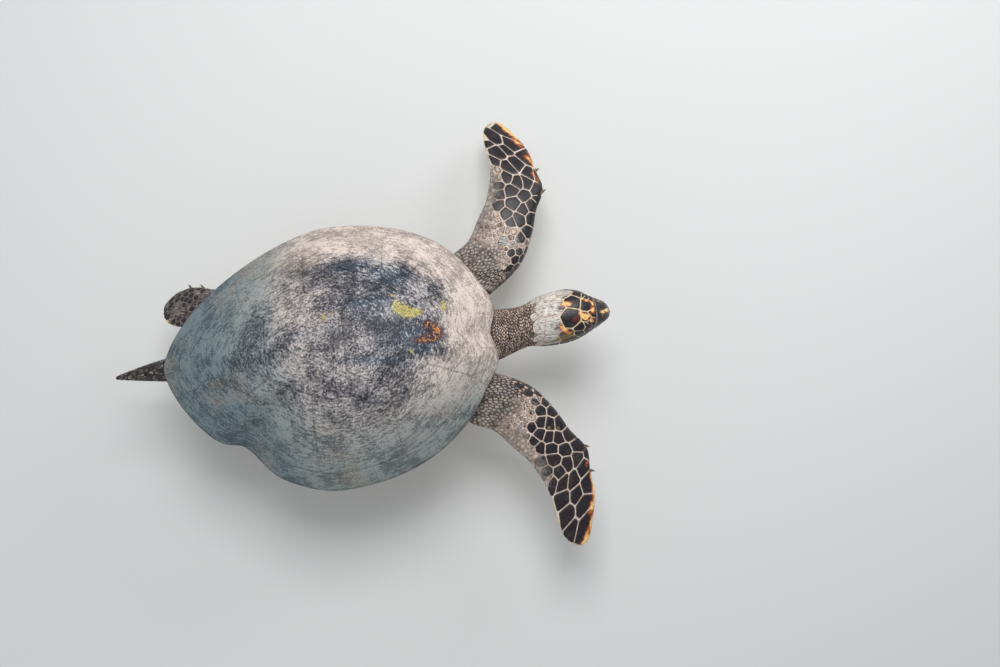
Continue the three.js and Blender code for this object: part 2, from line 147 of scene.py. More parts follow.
# %% [markdown]
# ## Putting a shape into Blender
# Points and faces come as whole arrays. Where the arrays' order turned a closed shape inside out, its
# volume comes out negative, and all its faces are turned round. Values that the finishes read, such as
# how far a point lies from the edge of its scale, go along as attributes.

# %% Putting a shape into Blender
def put(name, data):
    """An object with this data, in the scene."""
    made = bpy.data.objects.new(name, data)
    bpy.context.scene.collection.objects.link(made)
    return made


def read(items, field, width=3, kind=np.float32):
    """One field of all a mesh's points or edges, as rows of an array."""
    values = np.empty(len(items) * width, kind)
    items.foreach_get(field, values)
    return values.reshape(-1, width)


def facing_out(points, faces):
    """The faces, turned round if the volume under them is negative: a sum of corner-to-corner triple
    products."""
    volume = 0.0
    for face in faces:
        for k in range(1, face.shape[1] - 1):
            a, b, c = points[face[:, 0]], points[face[:, k]], points[face[:, k + 1]]
            volume += (a * np.cross(b, c)).sum()
    return faces if volume > 0 else [face[:, ::-1] for face in faces]


def mark(mesh, marks):
    """Keeps each array of numbers or vectors as an attribute of the mesh's points."""
    for label, values in marks.items():
        kind, field = ("FLOAT", "value") if values.ndim == 1 else ("FLOAT_VECTOR", "vector")
        mesh.attributes.new(label, kind, "POINT").data.foreach_set(field, values.astype(np.float32).ravel())


def solid(name, points, faces, marks=None, flat=None):
    """A smooth-shaded object of these metres. `faces` is a list of arrays, `marks` holds values per point,
    and `flat` is the place of each point on the unwrap."""
    faces = facing_out(points, faces)
    mesh = bpy.data.meshes.new(name)
    corners = np.concatenate([face.ravel() for face in faces])
    sizes = np.concatenate([np.full(len(face), face.shape[1]) for face in faces])
    mesh.vertices.add(len(points))
    mesh.vertices.foreach_set("co", points.astype(np.float32).ravel())
    mesh.loops.add(len(corners))
    mesh.loops.foreach_set("vertex_index", corners.astype(np.int32))
    mesh.polygons.add(len(sizes))
    mesh.polygons.foreach_set("loop_start", (np.cumsum(sizes) - sizes).astype(np.int32))
    mesh.update(calc_edges=True)
    mesh.shade_smooth()
    mark(mesh, marks or {})
    if flat is not None:
        unwrap = mesh.uv_layers.new(name="OFBake")
        unwrap.data.foreach_set("uv", flat[corners].astype(np.float32).ravel())
    return put(name, mesh)


def tube_faces(rows, columns):
    """Four-cornered faces between rings of points that follow each other, each ring closed on itself."""
    r, c = np.meshgrid(np.arange(rows - 1), np.arange(columns), indexing="ij")
    a, b = r * columns + c, r * columns + (c + 1) % columns
    return xyz(a, b, b + columns, a + columns).reshape(-1, 4)


def fan_faces(ring_start, columns, centre, forwards):
    """Three-cornered faces from a ring to the one point at its centre."""
    a = ring_start + np.arange(columns)
    b = ring_start + (np.arange(columns) + 1) % columns
    return xyz(a, b, centre) if forwards else xyz(b, a, centre)


def lofted(rings):
    """Points and faces of a closed body from rings (row, column, xyz): a fan closes each end on its
    middle."""
    rows, columns = rings.shape[:2]
    points = np.concatenate([rings.reshape(-1, 3), rings[0].mean(0)[None], rings[-1].mean(0)[None]])
    ends = rows * columns
    caps = [fan_faces(0, columns, ends, False), fan_faces((rows - 1) * columns, columns, ends + 1, True)]
    return points, [tube_faces(rows, columns), np.concatenate(caps)]


def dressed(piece, slot, material, *nodes):
    """Says what a finished piece is: it rides on the still model, stands for these nodes and wears this
    finish."""
    piece.data.materials.clear()
    piece.data.materials.append(material)
    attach(piece, "root")
    if nodes:
        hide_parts(*nodes)
    triangles = sum(len(face.vertices) - 2 for face in piece.data.polygons)
    print(f"{piece.name}: {triangles} triangles")


# %% [markdown]
# ## A ring surface laid out flat
# Scales are drawn on a flat sheet, where their sizes are true, and the sheet is then rolled on to the
# body. For a body of rings the sheet's two ways are the place along and the distance round the ring. A
# table of ring lengths, made once, gives the angle for any distance, so the same sheet serves the skin,
# the scales and the unwrap that the colours are kept on.

# %% A ring surface laid out flat
class Sheet:
    """`surface(s, angle)` laid out flat from `start` to `end`; p is the signed distance round from angle
    nought."""

    ROWS, COLUMNS = 140, 160

    def __init__(self, surface, start, end):
        self.surface, self.start, self.end = surface, start, end
        self.places = np.linspace(start, end, self.ROWS)
        fine = np.linspace(0, np.pi, 240)
        shares = np.linspace(0, 1, self.COLUMNS)
        angles, self.lengths = [], []
        for side in (-1, 1):
            ring = surface(self.places[:, None], side * fine[None, :])
            run = np.cumsum(np.linalg.norm(np.diff(ring, axis=1), axis=-1), axis=1)
            run = np.concatenate([np.zeros((self.ROWS, 1)), run], axis=1)
            self.lengths.append(run[:, -1])
            angles.append(np.array([side * np.interp(shares * r[-1], r, fine) for r in run]))
        self.angles, self.hand = np.stack(angles), 1.0
        middle = np.full(8, (start + end) / 2)
        across = np.linspace(-0.8, 0.8, 8) * self.half(middle[0], 1.0)
        ring = self.bare(middle, across)
        self.hand = 1.0 if (self.normal(middle, across) * (ring - ring.mean(0))).sum() > 0 else -1.0

    def half(self, s, p):
        """The length of the half ring on the side where p lies."""
        right, left = (np.interp(s, self.places, length) for length in self.lengths)
        return np.where(np.asarray(p) < 0, right, left)

    def share(self, s, p):
        """How far round its half ring a place lies, from nought to one."""
        return np.abs(p) / self.half(s, p)

    def angle(self, s, p):
        """The angle at distance p: read from the table, straight between its entries."""
        share = np.clip(self.share(s, p), 0, 1) * (self.COLUMNS - 1)
        row = np.clip((s - self.start) / (self.end - self.start), 0, 1) * (self.ROWS - 1)
        i = np.minimum(row.astype(int), self.ROWS - 2)
        j = np.minimum(share.astype(int), self.COLUMNS - 2)
        f, g, side = row - i, share - j, (np.asarray(p) >= 0).astype(int)
        near, far = (self.angles[side, k, j] * (1 - g) + self.angles[side, k, j + 1] * g for k in (i, i + 1))
        return near * (1 - f) + far * f

    def bare(self, s, p):
        s, p = np.broadcast_arrays(np.asarray(s, float), np.asarray(p, float))
        return self.surface(s, self.angle(s, p))

    def normal(self, s, p, step=0.8):
        """The outward normal: the two ways' tangents, from points a step to each side, crossed."""
        along = self.bare(s + step, p) - self.bare(s - step, p)
        normal = np.cross(along, self.bare(s, p + step) - self.bare(s, p - step))
        return self.hand * normal / np.maximum(long(normal), 1e-9)

    def on(self, s, p, lift=0.0):
        """The point at place s and distance p round, lifted along the normal, in the turtle's millimetres."""
        return self.bare(s, p) + self.normal(s, p) * np.asarray(lift, float)[..., None]

    def unwrap(self, s, p):
        """The same point on the unit square that the colours are kept on."""
        widest = max(length.max() for length in self.lengths) * 1.02
        u = 0.01 + 0.98 * (s - self.start) / (self.end - self.start)
        return np.clip(xyz(u, 0.5 + 0.5 * np.asarray(p) / widest), 0.002, 0.998)


print("a sheet's table has", Sheet.ROWS, "by", Sheet.COLUMNS, "angles on each side")

# %% [markdown]
# ## Cells
# Reptile scales pack like soap cells. Each grows until it meets its neighbours, so a border lies half-way
# between two middles. Seen from its own middle a cell is a reach in every direction: the least distance
# at which a border is met. Taking that least softly rounds the corners, as real scales have them.

# %% Cells
def circle(count):
    """Unit directions evenly round."""
    return xyz(np.cos(turns(count)), np.sin(turns(count)))


def cells(seeds, gap, corners, sharp=10.0, weight=0.0, rivals=18, own=None):
    """The reach of each seed's cell. A rival's border lies half-way, moved by the weights' difference over
    the distance and by half the gap; the reach is the power mean of those met in that direction. Only the
    first `own` seeds get cells, and the others only stand at the border."""
    own = len(seeds) if own is None else own
    rivals = min(rivals, len(seeds) - 1)
    weight = np.broadcast_to(np.asarray(weight, float), len(seeds))
    reach = np.empty((own, corners))
    for start in range(0, own, 400):
        block = np.arange(start, min(start + 400, own))
        apart = seeds[None] - seeds[block, None]
        square = (apart**2).sum(-1)
        square[np.arange(len(block)), block] = np.inf
        near = np.argpartition(square, rivals - 1, axis=1)[:, :rivals]
        apart = np.take_along_axis(apart, near[..., None], axis=1)
        far = np.sqrt(np.take_along_axis(square, near, axis=1))
        border = (far**2 + weight[block, None] - weight[near]) / (2 * far) - gap / 2
        facing = np.maximum(apart @ circle(corners).T / far[..., None], 0)
        facing = facing / np.maximum(border, 0.25)[..., None]
        reach[block] = np.maximum((facing**sharp).sum(1), 1e-300) ** (-1 / sharp)
    return reach


def fenced(seeds, reach, inside):
    """The reach cut back to where `inside(s, p)` still holds, found by halving the share eleven times."""
    def held(share):
        spot = seeds[:, None] + circle(reach.shape[1]) * (reach * share)[..., None]
        return inside(spot[..., 0], spot[..., 1])

    low, high = np.zeros_like(reach), np.ones_like(reach)
    for _ in range(11):
        share = (low + high) / 2
        good = held(share)
        low, high = np.where(good, share, low), np.where(good, high, share)
    return np.maximum(reach * np.where(held(1.0), 1.0, low), 0.4)


def settled(seeds, own, rounds=2, widest=8.0):
    """Seeds moved to the middles of their cells a few times, which evens the cells out. Those past `own`
    stay."""
    for _ in range(rounds):
        reach = np.minimum(cells(seeds, 0.0, 12, own=own), widest)
        pull = (reach[..., None] ** 3 * circle(12)).sum(1) / (reach**2).sum(1)[:, None] * (2 / 3)
        seeds = seeds.copy()
        seeds[:own] += 0.8 * pull
    return seeds


def thrown(box, size, darts, taken):
    """Seeds by throwing darts at the box: one stays where no earlier one is nearer than `size(s, p)`
    there."""
    spots = xyz(*(draws.uniform(low, high, darts) for low, high in box))
    sizes = size(spots[:, 0], spots[:, 1])
    spots, sizes = spots[sizes > 0], sizes[sizes > 0]
    kept, count = np.concatenate([taken, np.empty((len(spots), 2))]), len(taken)
    for spot, least in zip(spots, sizes):
        if count and ((kept[:count] - spot) ** 2).sum(1).min() < least**2:
            continue
        kept[count] = spot
        count += 1
    return kept[len(taken):count]


cross = np.array([[0, 0], [10, 0], [-10, 0], [0, 10], [0, -10.0]])
print("a cell's reach:", cells(cross, 1.0, 8, own=1).round(2))

# %% [markdown]
# ## Scales
# A scale is a low cushion: it rises steeply from the skin, turns over a rounded edge and swells a little to
# its middle. Thousands of them are one mesh each for the head, the neck and every limb, worked out as one
# array of rings. Each point keeps where it lies on the unwrap, how near the edge it is, and its scale's own
# random number.

# %% Scales
COAT = 1.3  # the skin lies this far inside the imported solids
SUNK = 0.7  # a scale's foot goes this far into the skin
# A form gives each ring's share of the reach and, but for the sunk one, its part of the height.
ROUNDED = (1.0, 0.965, 0.90, 0.70, 0.38), (0.55, 0.86, 0.97, 1.0)
PEBBLED = (1.0, 0.86, 0.5), (0.62, 0.95)


def scales(name, on, unwrap, seeds, reach, height, form=ROUNDED, marks=None, skin=-COAT):
    """The scales on a sheet. Ring k lies at its share of the reach, and at its part of the height over the
    skin; a fan closes the top, and one closes the foot."""
    count, corners = reach.shape
    share, rise = np.array(form[0]), np.array((0.0, *form[1]))
    height, rings = np.broadcast_to(np.asarray(height, float), count), len(share)
    spread = reach[:, None, :, None] * share[None, :, None, None] * circle(corners)
    flat = (seeds[:, None, None] + spread).reshape(count, rings * corners, 2)
    s, p = np.moveaxis(np.concatenate([flat, np.stack([seeds, seeds], 1)], 1), -1, 0)
    lift = skin + height[:, None] * rise[None]
    lift[:, 0] = skin - SUNK
    lift = np.concatenate([np.repeat(lift, corners, axis=1), (skin + height)[:, None],
                           np.full((count, 1), skin - SUNK - 0.4)], 1)
    size = rings * corners + 2
    start = np.arange(count)[:, None, None] * size
    wall = (tube_faces(rings, corners)[None] + start).reshape(-1, 4)
    fans = np.concatenate([fan_faces((rings - 1) * corners, corners, size - 2, True),
                           fan_faces(0, corners, size - 1, False)])
    fans = (fans[None] + start).reshape(-1, 3)
    values = {"edge": np.tile(np.concatenate([np.repeat(share, corners), [0.0, 1.0]]), count),
              "tone": np.repeat(draws.uniform(0, 1, count), size)}
    for label, of_place in (marks or {}).items():
        values[label] = of_place(s, p).reshape(-1) * np.ones(count * size)
    return solid(name, banked(on(s, p, lift).reshape(-1, 3)), [wall, fans], values,
                 unwrap(s, p).reshape(-1, 2))


def bone_marks(points):
    """The marks of a plate's bare core: all of it counts as an edge."""
    return {"edge": np.ones(len(points)), "tone": np.full(len(points), 0.5)}


print("a rounded scale has", len(ROUNDED[0]), "rings")

# %% [markdown]
# ## The shell's form
# Seen from above the rim is a half of a rounded egg on each side, with a hollow over the neck and, on the
# right, an old healed dent behind the hip. The dome rises from it along rays from the crown, so its height
# over any spot of the plan follows from how far out on its ray that spot lies.

# %% The shell's form
HALF_LENGTH = 375
CROWN = 55
DOME = {"height": 158, "fall": 2.1, "round": 0.93}
SHELL = {"rim": 15, "wall": 17, "lip": 0.84}
# the left side's numbers and the right side's
SIDES = {"half": (294, 314), "widest": (15, -8), "front": (2.28, 2.08), "rear": (1.52, 1.54)}
NAPE = {"depth": 6, "width": 23}
SHOULDER = {"out": 14, "at": 68, "width": 40}
DENT = {"depth": 34, "at": -204, "width": 42}


def rim(angle):
    """The rim in plan: a superellipse for each quarter, pulled out over the shoulders and in at nape and
    dent."""
    c, s = np.cos(angle), np.sin(angle)
    half, widest, front, rear = (np.where(s >= 0, *pair) for pair in SIDES.values())
    exponent = 2 / np.where(c >= 0, front, rear)
    x = widest + (HALF_LENGTH - np.sign(c) * widest) * power(c, exponent)
    y = half * power(s, exponent)
    ahead = SHOULDER["out"] * bell(np.abs(y) - SHOULDER["at"], SHOULDER["width"])
    x = x + (c > 0) * (ahead - NAPE["depth"] * bell(y, NAPE["width"]))
    return x, y + ((s < 0) & (c < 0)) * DENT["depth"] * bell(x - DENT["at"], DENT["width"])


def rim_height(x, y):
    """The rim's own rise: up over the neck and a little at the rear, down along the flanks."""
    ends = 16 * smooth(150, HALF_LENGTH, x) + 6 * smooth(-200, -HALF_LENGTH, x)
    return ends - 16 * smooth(120, 300, np.abs(y))


RIM_X, RIM_Y = rim(np.linspace(-np.pi, np.pi, 1441)[:-1])
RIM_TURN = np.arctan2(RIM_Y, RIM_X - CROWN)
RIM_REACH = np.hypot(RIM_X - CROWN, RIM_Y)
RIM_RISE = rim_height(RIM_X, RIM_Y)


def by_turn(x, y, values):
    """What the rim has in the direction where a spot lies from the crown."""
    return np.interp(np.arctan2(y, x - CROWN), RIM_TURN, values, period=2 * np.pi)


def shell_share(x, y):
    """How far out a spot of the plan lies on its ray from the crown: nought there, one at the rim."""
    return np.hypot(x - CROWN, y) / by_turn(x, y, RIM_REACH)


def dome(share, rise):
    """The dome's height: a fall with a power of the share, and the rim's own rise with its square."""
    return DOME["height"] * (1 - share ** DOME["fall"]) ** DOME["round"] + rise * share**2


def shell_height(x, y):
    return dome(np.clip(shell_share(x, y), 0, 1), by_turn(x, y, RIM_RISE))


def plan_on(height, up=1.0, step=1.5):
    """`on(x, y, lift)` for a height over the plan: the normal leans against the slope, up or down."""
    def on(x, y, lift=0.0):
        slope_x = (height(x + step, y) - height(x - step, y)) / (2 * step)
        slope_y = (height(x, y + step) - height(x, y - step)) / (2 * step)
        normal = up * xyz(-slope_x, -slope_y, 1.0)
        return xyz(x, y, height(x, y)) + normal / long(normal) * np.asarray(lift, float)[..., None]
    return on


def plan_unwrap(x, y):
    """The plan itself, fitted to the unit square."""
    return np.clip(xyz(0.5 + x / 800, 0.5 + y / 660), 0.002, 0.998)


print("crown height over the rim plane", float(shell_height(CROWN, 0.0)), "mm")

# %% [markdown]
# ## Head, limbs and tail as ring surfaces
# Each is a function of the place along and the angle round. On the head the angle is taken from the crown
# line, and on a limb from its leading edge, so both sides of a sheet mirror each other.

# %% Head, limbs and tail as ring surfaces
# at, half width, top, bottom, level of the widest place, how far the middle lies to the left
HEAD = np.array([
    (250, 72, -10, -90, -52, 0), (345, 68, -8, -90, -50, 0), (385, 59, -2, -86, -46, 3),
    (430, 50, 8, -76, -38, 9), (456, 49, 17, -72, -33, 14), (488, 58, 31, -70, -30, 19),
    (522, 61, 37, -67, -28, 22), (552, 60, 38, -62, -23, 24), (580, 51, 34, -55, -18, 24),
    (604, 38, 21, -47, -16.5, 24), (622, 29, 10, -40.5, -16, 24), (636, 21.5, -1.5, -34.5, -17, 24),
    (645, 14, -12.5, -33.5, -21, 24), (649, 6, -23, -33.5, -28, 24)], float)
HEAD_CURVES = [through(HEAD, k) for k in range(1, 6)]
HEAD_ROLL = math.radians(4)
BROW = {"at": 582, "length": 21, "lean": math.radians(44), "width": math.radians(24), "swell": 0.075}


def head(x, turn):
    """A ring of the neck or head: squared-off half widths left and right, its own height above and below,
    swollen over the eyes, and rolled a little to the left."""
    half, top, bottom, level, aside = (curve(x) for curve in HEAD_CURVES)
    roll = HEAD_ROLL * smooth(380, 480, x)
    brow = bell(x - BROW["at"], BROW["length"]) * bell(np.abs(turn) - BROW["lean"], BROW["width"])
    swell = 1 + BROW["swell"] * brow
    y = swell * half * power(np.sin(turn), 0.9)
    up = swell * power(np.cos(turn), 0.94)
    z = up * np.where(up > 0, top - level, level - bottom)
    return xyz(x, aside + y * np.cos(roll) + z * np.sin(roll), level + z * np.cos(roll) - y * np.sin(roll))


ARM_LENGTH, ELBOW, LEG_LENGTH = 400, 130, 200
ARM_ROOT, LEG_ROOT = np.array([340, 156, -46.0]), np.array([-198, 118, -44.0])
# at, leading edge, trailing edge, thickness
ARM = np.array([
    (-130, 40, -62, 66), (-60, 52, -70, 74), (-20, 84, -64, 74), (20, 111, -50, 66), (60, 124, -18, 54),
    (110, 131, -4, 42), (160, 133, 10, 33), (200, 142, 13, 27), (225, 141, 13, 24), (262, 122, 8, 20),
    (320, 98, -10, 14), (360, 65, -15, 11), (385, 43, -4, 8), (ARM_LENGTH, 24, 10, 5)], float)
LEG = np.array([
    (-80, 34, -34, 56), (-20, 40, -42, 54), (40, 48, -40, 40), (90, 56, -42, 26), (135, 57, -46, 18),
    (170, 44, -42, 12), (190, 24, -28, 8), (LEG_LENGTH, 4, -8, 5)], float)
# sweep forwards, droop, twist and curl in degrees, and how far the root is stretched out
POSES = {"front_flipper_left": (14, -1, 9, 34, 12), "front_flipper_right": (27.5, 9, 9, 8, 0),
         "rear_flipper_left": (-78, 8, 12, 10, 0), "rear_flipper_right": (-103, 34, 28, 10, 0)}


def limb_place(root, pose, side):
    """`place(s, q, h)` of a limb: s along it, q towards its leading edge and h up through it. Past the elbow
    the middle line runs on an arc, and the section turns with it."""
    sweep, droop, twist, curl = np.radians(pose[:4])
    bend = curl / (ARM_LENGTH - ELBOW)
    a = np.pi / 2 - sweep
    along = np.array([np.cos(a) * np.cos(droop), np.sin(a) * np.cos(droop), -np.sin(droop)])
    level = np.array([np.sin(a), -np.cos(a), 0.0])
    rise = np.cross(level, along)
    across = level * np.cos(twist) - rise * np.sin(twist)
    up = level * np.sin(twist) + rise * np.cos(twist)
    origin = root + along * pose[4]

    def place(s, q, h):
        turn = bend * np.maximum(0, s - ELBOW)
        out = np.where(turn > 0, ELBOW + np.sin(turn) / bend, s) + h * np.sin(turn)
        rise_by = h * np.cos(turn) - (1 - np.cos(turn)) / bend
        spot = origin + along * out[..., None] + across * q[..., None] + up * rise_by[..., None]
        return spot * [1, side, 1]

    return place


def limb(stations, place):
    """`surface(s, angle)`: a teardrop section, thicker in front, between the leading and the trailing
    edge."""
    lead, trail, thick = (through(stations, k) for k in (1, 2, 3))

    def surface(s, angle):
        s, angle = np.broadcast_arrays(np.asarray(s, float), np.asarray(angle, float))
        c = np.cos(angle)
        h = thick(s) / 2 * np.sin(angle) * (1 + 0.42 * c)
        return place(s, (lead(s) + trail(s)) / 2 + (lead(s) - trail(s)) / 2 * power(c, 0.9), h)

    return surface


TAIL = {"root": -262, "tip": -503, "width": 46, "height": 34, "level": -34, "aside": 6, "dip": 8}


def tail(t, angle):
    """The tail from its root at t = 0 to its tip at t = 240 mm: rings that taper almost evenly and dip a
    little."""
    u = np.clip(t / (TAIL["root"] - TAIL["tip"]), 0, 1)
    taper = 0.93 * (1 - u) ** 0.85 + 0.07
    return xyz(TAIL["root"] - t, TAIL["aside"] * (1 - u * u) + TAIL["width"] * taper * np.sin(angle),
               TAIL["level"] - TAIL["dip"] * u * u + TAIL["height"] * taper * np.cos(angle))


PLACES = {}
SHEETS = {"head": Sheet(head, 240, 648.5), "tail": Sheet(tail, -40, 240.5)}
for name, pose in POSES.items():
    stations, root, start = (ARM, ARM_ROOT, -130) if "front" in name else (LEG, LEG_ROOT, -80)
    PLACES[name] = limb_place(root, pose, 1 if "left" in name else -1)
    SHEETS[name] = Sheet(limb(stations, PLACES[name]), start, stations[-1, 0] - 0.5)
head_sheet = SHEETS["head"]
for name, sheet in SHEETS.items():
    print(name, "half round at the middle:", round(float(sheet.half((sheet.start + sheet.end) / 2, 1.0))),
          "mm")

# %% [markdown]
# ## The eyes' places
# The eyeball's middle is known. The lids open where the skin comes nearest to it, which the head's sheet
# gives as a place along and a distance round.

# %% The eyes' places
EYE = {"x": 589, "y": 29, "z": 2, "radius": 13.4}
LIDS = {"long": 11.2, "high": 7.0, "slant": math.radians(12)}


def eye_middle(side):
    """The eyeball's middle: to the side of the head's own middle line, and rolled with the head."""
    aside = HEAD_CURVES[4](EYE["x"]) + EYE["z"] * math.sin(HEAD_ROLL)
    return np.array([EYE["x"], aside + side * EYE["y"], EYE["z"] - side * EYE["y"] * math.sin(HEAD_ROLL)])


def nearest_on_head(point, s_range, p_range):
    """The place on the head's sheet nearest to a point, from a fine grid of places."""
    s, p = np.meshgrid(np.linspace(*s_range, 81), np.linspace(*p_range, 161), indexing="ij")
    far = np.linalg.norm(head_sheet.bare(s, p) - point, axis=-1)
    best = np.unravel_index(far.argmin(), far.shape)
    return float(s[best]), float(p[best])


EYE_SPOTS = {side: nearest_on_head(eye_middle(side), (570, 612), (20 * side, 80 * side)) for side in (1, -1)}


def eye_axes(side):
    """The eye's three ways: outwards through the lids, forwards along the slit, and up across it."""
    out = head_sheet.bare(*EYE_SPOTS[side]) - eye_middle(side)
    out = out / np.linalg.norm(out)
    level = np.array([math.cos(LIDS["slant"]), 0, -math.sin(LIDS["slant"])])
    forwards = level - out * (level @ out)
    forwards = forwards / np.linalg.norm(forwards)
    upwards = np.cross(out, forwards)
    return out, forwards, upwards * np.sign(upwards[2])


def from_lids(points, side):
    """How far points lie outside the lids' opening, in millimetres: less than nought within it. The opening
    is where two discs overlap, and the larger of the distances to them is taken softly, which rounds its
    corners."""
    out, forwards, upwards = eye_axes(side)
    apart = points - eye_middle(side)
    ahead, above = apart @ forwards, apart @ upwards
    radius = (LIDS["long"] ** 2 + LIDS["high"] ** 2) / (2 * LIDS["high"])
    upper = np.hypot(ahead, above + radius - LIDS["high"]) - radius
    lower = np.hypot(ahead, above - radius + LIDS["high"]) - radius
    larger = 0.5 * (upper + lower + np.sqrt((upper - lower) ** 2 + 2.0)) - 0.2
    return np.where(apart @ out > 0, larger, 60.0)


for side, spot in EYE_SPOTS.items():
    depth = np.linalg.norm(head_sheet.bare(*spot) - eye_middle(side))
    print("lids open at", spot, "where the eyeball stands out by", round(EYE["radius"] - float(depth), 2),
          "mm")

# %% [markdown]
# ## One skin
# Flesh has no seams, so head, neck, trunk, limbs and tail are rolled from their sheets, joined into a single
# body, and the creases of the joins are smoothed until they look like folds. Before that each sheet gets
# its own relief: lids and sockets, the fold of the jaw, and the wrinkles of a neck that can stretch.
# A sculpted mesh would do as well, but formulas keep every fold where the scales expect it.

# %% The skin's relief
HORN = {"top": 613, "height": 18, "slant": 0.42}
MOUTH = {"height": -22.5, "slope": -0.02, "cheek": 590, "chin": 637}


def mouth_height(x):
    return MOUTH["height"] + MOUTH["slope"] * (x - MOUTH["cheek"])


def horn_start(z):
    """How far forwards the horn starts at a height: its edge slants."""
    return HORN["top"] + HORN["slant"] * (z - HORN["height"])


def under_horn(x, z, blend=4.0):
    """One where horn covers the head: in front of the slanting edge, or below the mouth ahead of the
    cheek."""
    snout = smooth(-blend, blend, x - horn_start(z))
    jaw = smooth(-blend, blend, x - MOUTH["cheek"] - 2) * smooth(blend, -blend, z - mouth_height(x))
    return np.maximum(snout, jaw)


def wrinkles(run, wander, pitch):
    """Narrow furrows across a run: the sharpened valleys of a sine whose phase wanders."""
    return -((1 - np.abs(np.sin(np.pi * (run + wander) / pitch))) ** 2.2)


LID_RIM, SOCKET = 0.9, 3.2  # how far the lid stands over the eyeball, and how far the socket lies under it
# ridges and furrows of the lid and round it: how far from the opening, width, height
LID_FORMS, ROUND_LIDS = ((1.7, 1.2, 0.5), (3.3, 0.5, -0.35)), ((5.0, 1.1, -0.9), (7.4, 1.6, 0.5))


def ridged(relief, away, forms):
    for far, width, height in forms:
        relief = relief + height * bell(away - far, width)
    return relief


def head_relief(x, p):
    """Neck furrows that fade on the head, a fold under the jaw, and round each eye a lid's ridge, a furrow
    outside it, and the socket inside. The neck's underside draws back over the plastron's front."""
    wander = 9 * np.sin(p / 29 + 1.0) + 4 * np.sin(p / 11.0 + x / 37) + 3 * np.sin(x / 19 + p / 41)
    neck = smooth(474, 440, x) * (0.75 + 0.25 * np.sin(x / 27 + p / 33))
    relief = neck * (2.3 * wrinkles(x, wander, 15.0) + 0.5 * wrinkles(p, 9 * np.sin(x / 17 + p / 13), 23.0))
    bare, share = head_sheet.bare(x, p), head_sheet.share(x, p)
    relief = relief - 17 * smooth(330, 286, x) * smooth(0.48, 0.75, share)
    folded = smooth(0.62, 0.8, share) * smooth(600, 560, x)
    relief = relief + folded * 1.2 * wrinkles(p, 3 * np.sin(x / 20), 15.0)
    for side in (1, -1):
        away = from_lids(bare, side)
        over = EYE["radius"] + COAT - np.linalg.norm(bare - eye_middle(side), axis=-1)
        lid = ridged(over + LID_RIM, away, LID_FORMS)
        near = smooth(6.0, 2.4, away)
        formed = ridged(relief * (1 - near) + lid * near, away, ROUND_LIDS)
        formed = formed + (over - SOCKET - formed) * smooth(0.4, -1.3, away)
        relief = np.where(away < 30, formed, relief)
    return relief - (2.2 + 8 * smooth(604, 626, x)) * under_horn(x, bare[..., 2])


def arm_relief(s, p):
    """Soft folds at the shoulder and behind the elbow, none on the blade."""
    return smooth(70, 0, s) * 2.0 * wrinkles(s, 9 * np.sin(p / 27), 19.0)


def leg_relief(s, p):
    return smooth(60, 10, s) * 1.6 * wrinkles(s, 6 * np.sin(p / 20), 14.0)


def tail_relief(s, p):
    return 0.7 * wrinkles(s, 3 * np.sin(p / 12), 9.0) * smooth(240, 120, s)


def rolled(sheet, places, shares, relief):
    """A closed body off a sheet: at each place, points at these shares of the half ring, sunk by the coat."""
    s, share = np.meshgrid(places, shares, indexing="ij")
    p = share * sheet.half(s, share)
    return lofted(sheet.on(s, p, relief(s, p) - COAT))


def spaced(*stretches):
    """Places from stretches of (from, to, step)."""
    return np.concatenate([np.arange(a, b - step / 2, step) for a, b, step in stretches])


FINE = 0.0036  # the step of the shares round the lids
HEAD_SHARES = spaced((-1, -0.46, 0.03), (-0.46, -0.22, FINE), (-0.22, 0.22, 0.02), (0.22, 0.46, FINE),
                     (0.46, 1, 0.03))
HEAD_PLACES = spaced((250, 450, 2.6), (450, 572, 2.6), (572, 618, 0.6), (618, 629, 1.8))
EVEN = np.linspace(-1, 1, 97)[:-1]

skin_parts = {"head": rolled(head_sheet, HEAD_PLACES, HEAD_SHARES, head_relief),
              "tail": rolled(SHEETS["tail"], spaced((-40, 240, 4)), EVEN[::2], tail_relief)}
for name in POSES:
    if "front" in name:
        skin_parts[name] = rolled(SHEETS[name], spaced((-126, 60, 3.6), (60, 399, 4.0)), EVEN, arm_relief)
    else:
        skin_parts[name] = rolled(SHEETS[name], spaced((-44, 199, 4.0)), EVEN[::2], leg_relief)
print({name: len(points) for name, (points, faces) in skin_parts.items()})

# %% [markdown]
# The trunk fills the shell. Only the soft wall between carapace and plastron is ever seen, so its rings
# crowd there, and it bulges a little between the two.

# %% The trunk
PLASTRON = {"front": 285, "rear": -292, "lobe": 106, "bridge": 244, "rise": 36}
BRIDGE = {"rear": (-190, -100), "front": (95, 175)}
BELLY = -84
INSIDE = 10.5  # how far over the belly the trunk's own underside lies, within the plastron's thickness


def belly(y):
    """The belly's height: flat in the middle, rising on each flank."""
    return BELLY + PLASTRON["rise"] * smooth(90, 235, np.abs(y))


def inner_shell(share, turn):
    """The carapace's inner face: a shelf behind the rim that turns up into the dome at the lip."""
    x, y = rim(turn)
    rise = rim_height(x, y)
    shelf = rise - SHELL["rim"]
    up = smooth(SHELL["lip"], SHELL["lip"] - 0.12, share)
    return xyz(CROWN + (x - CROWN) * share, y * share,
               shelf + (dome(share, rise) - SHELL["wall"] - shelf) * up)


def trunk_floor(share, turn):
    """The same plan at the belly's level, just inside the plastron."""
    x, y, _ = np.moveaxis(inner_shell(share, turn), -1, 0)
    return xyz(x, y, belly(y) + INSIDE)


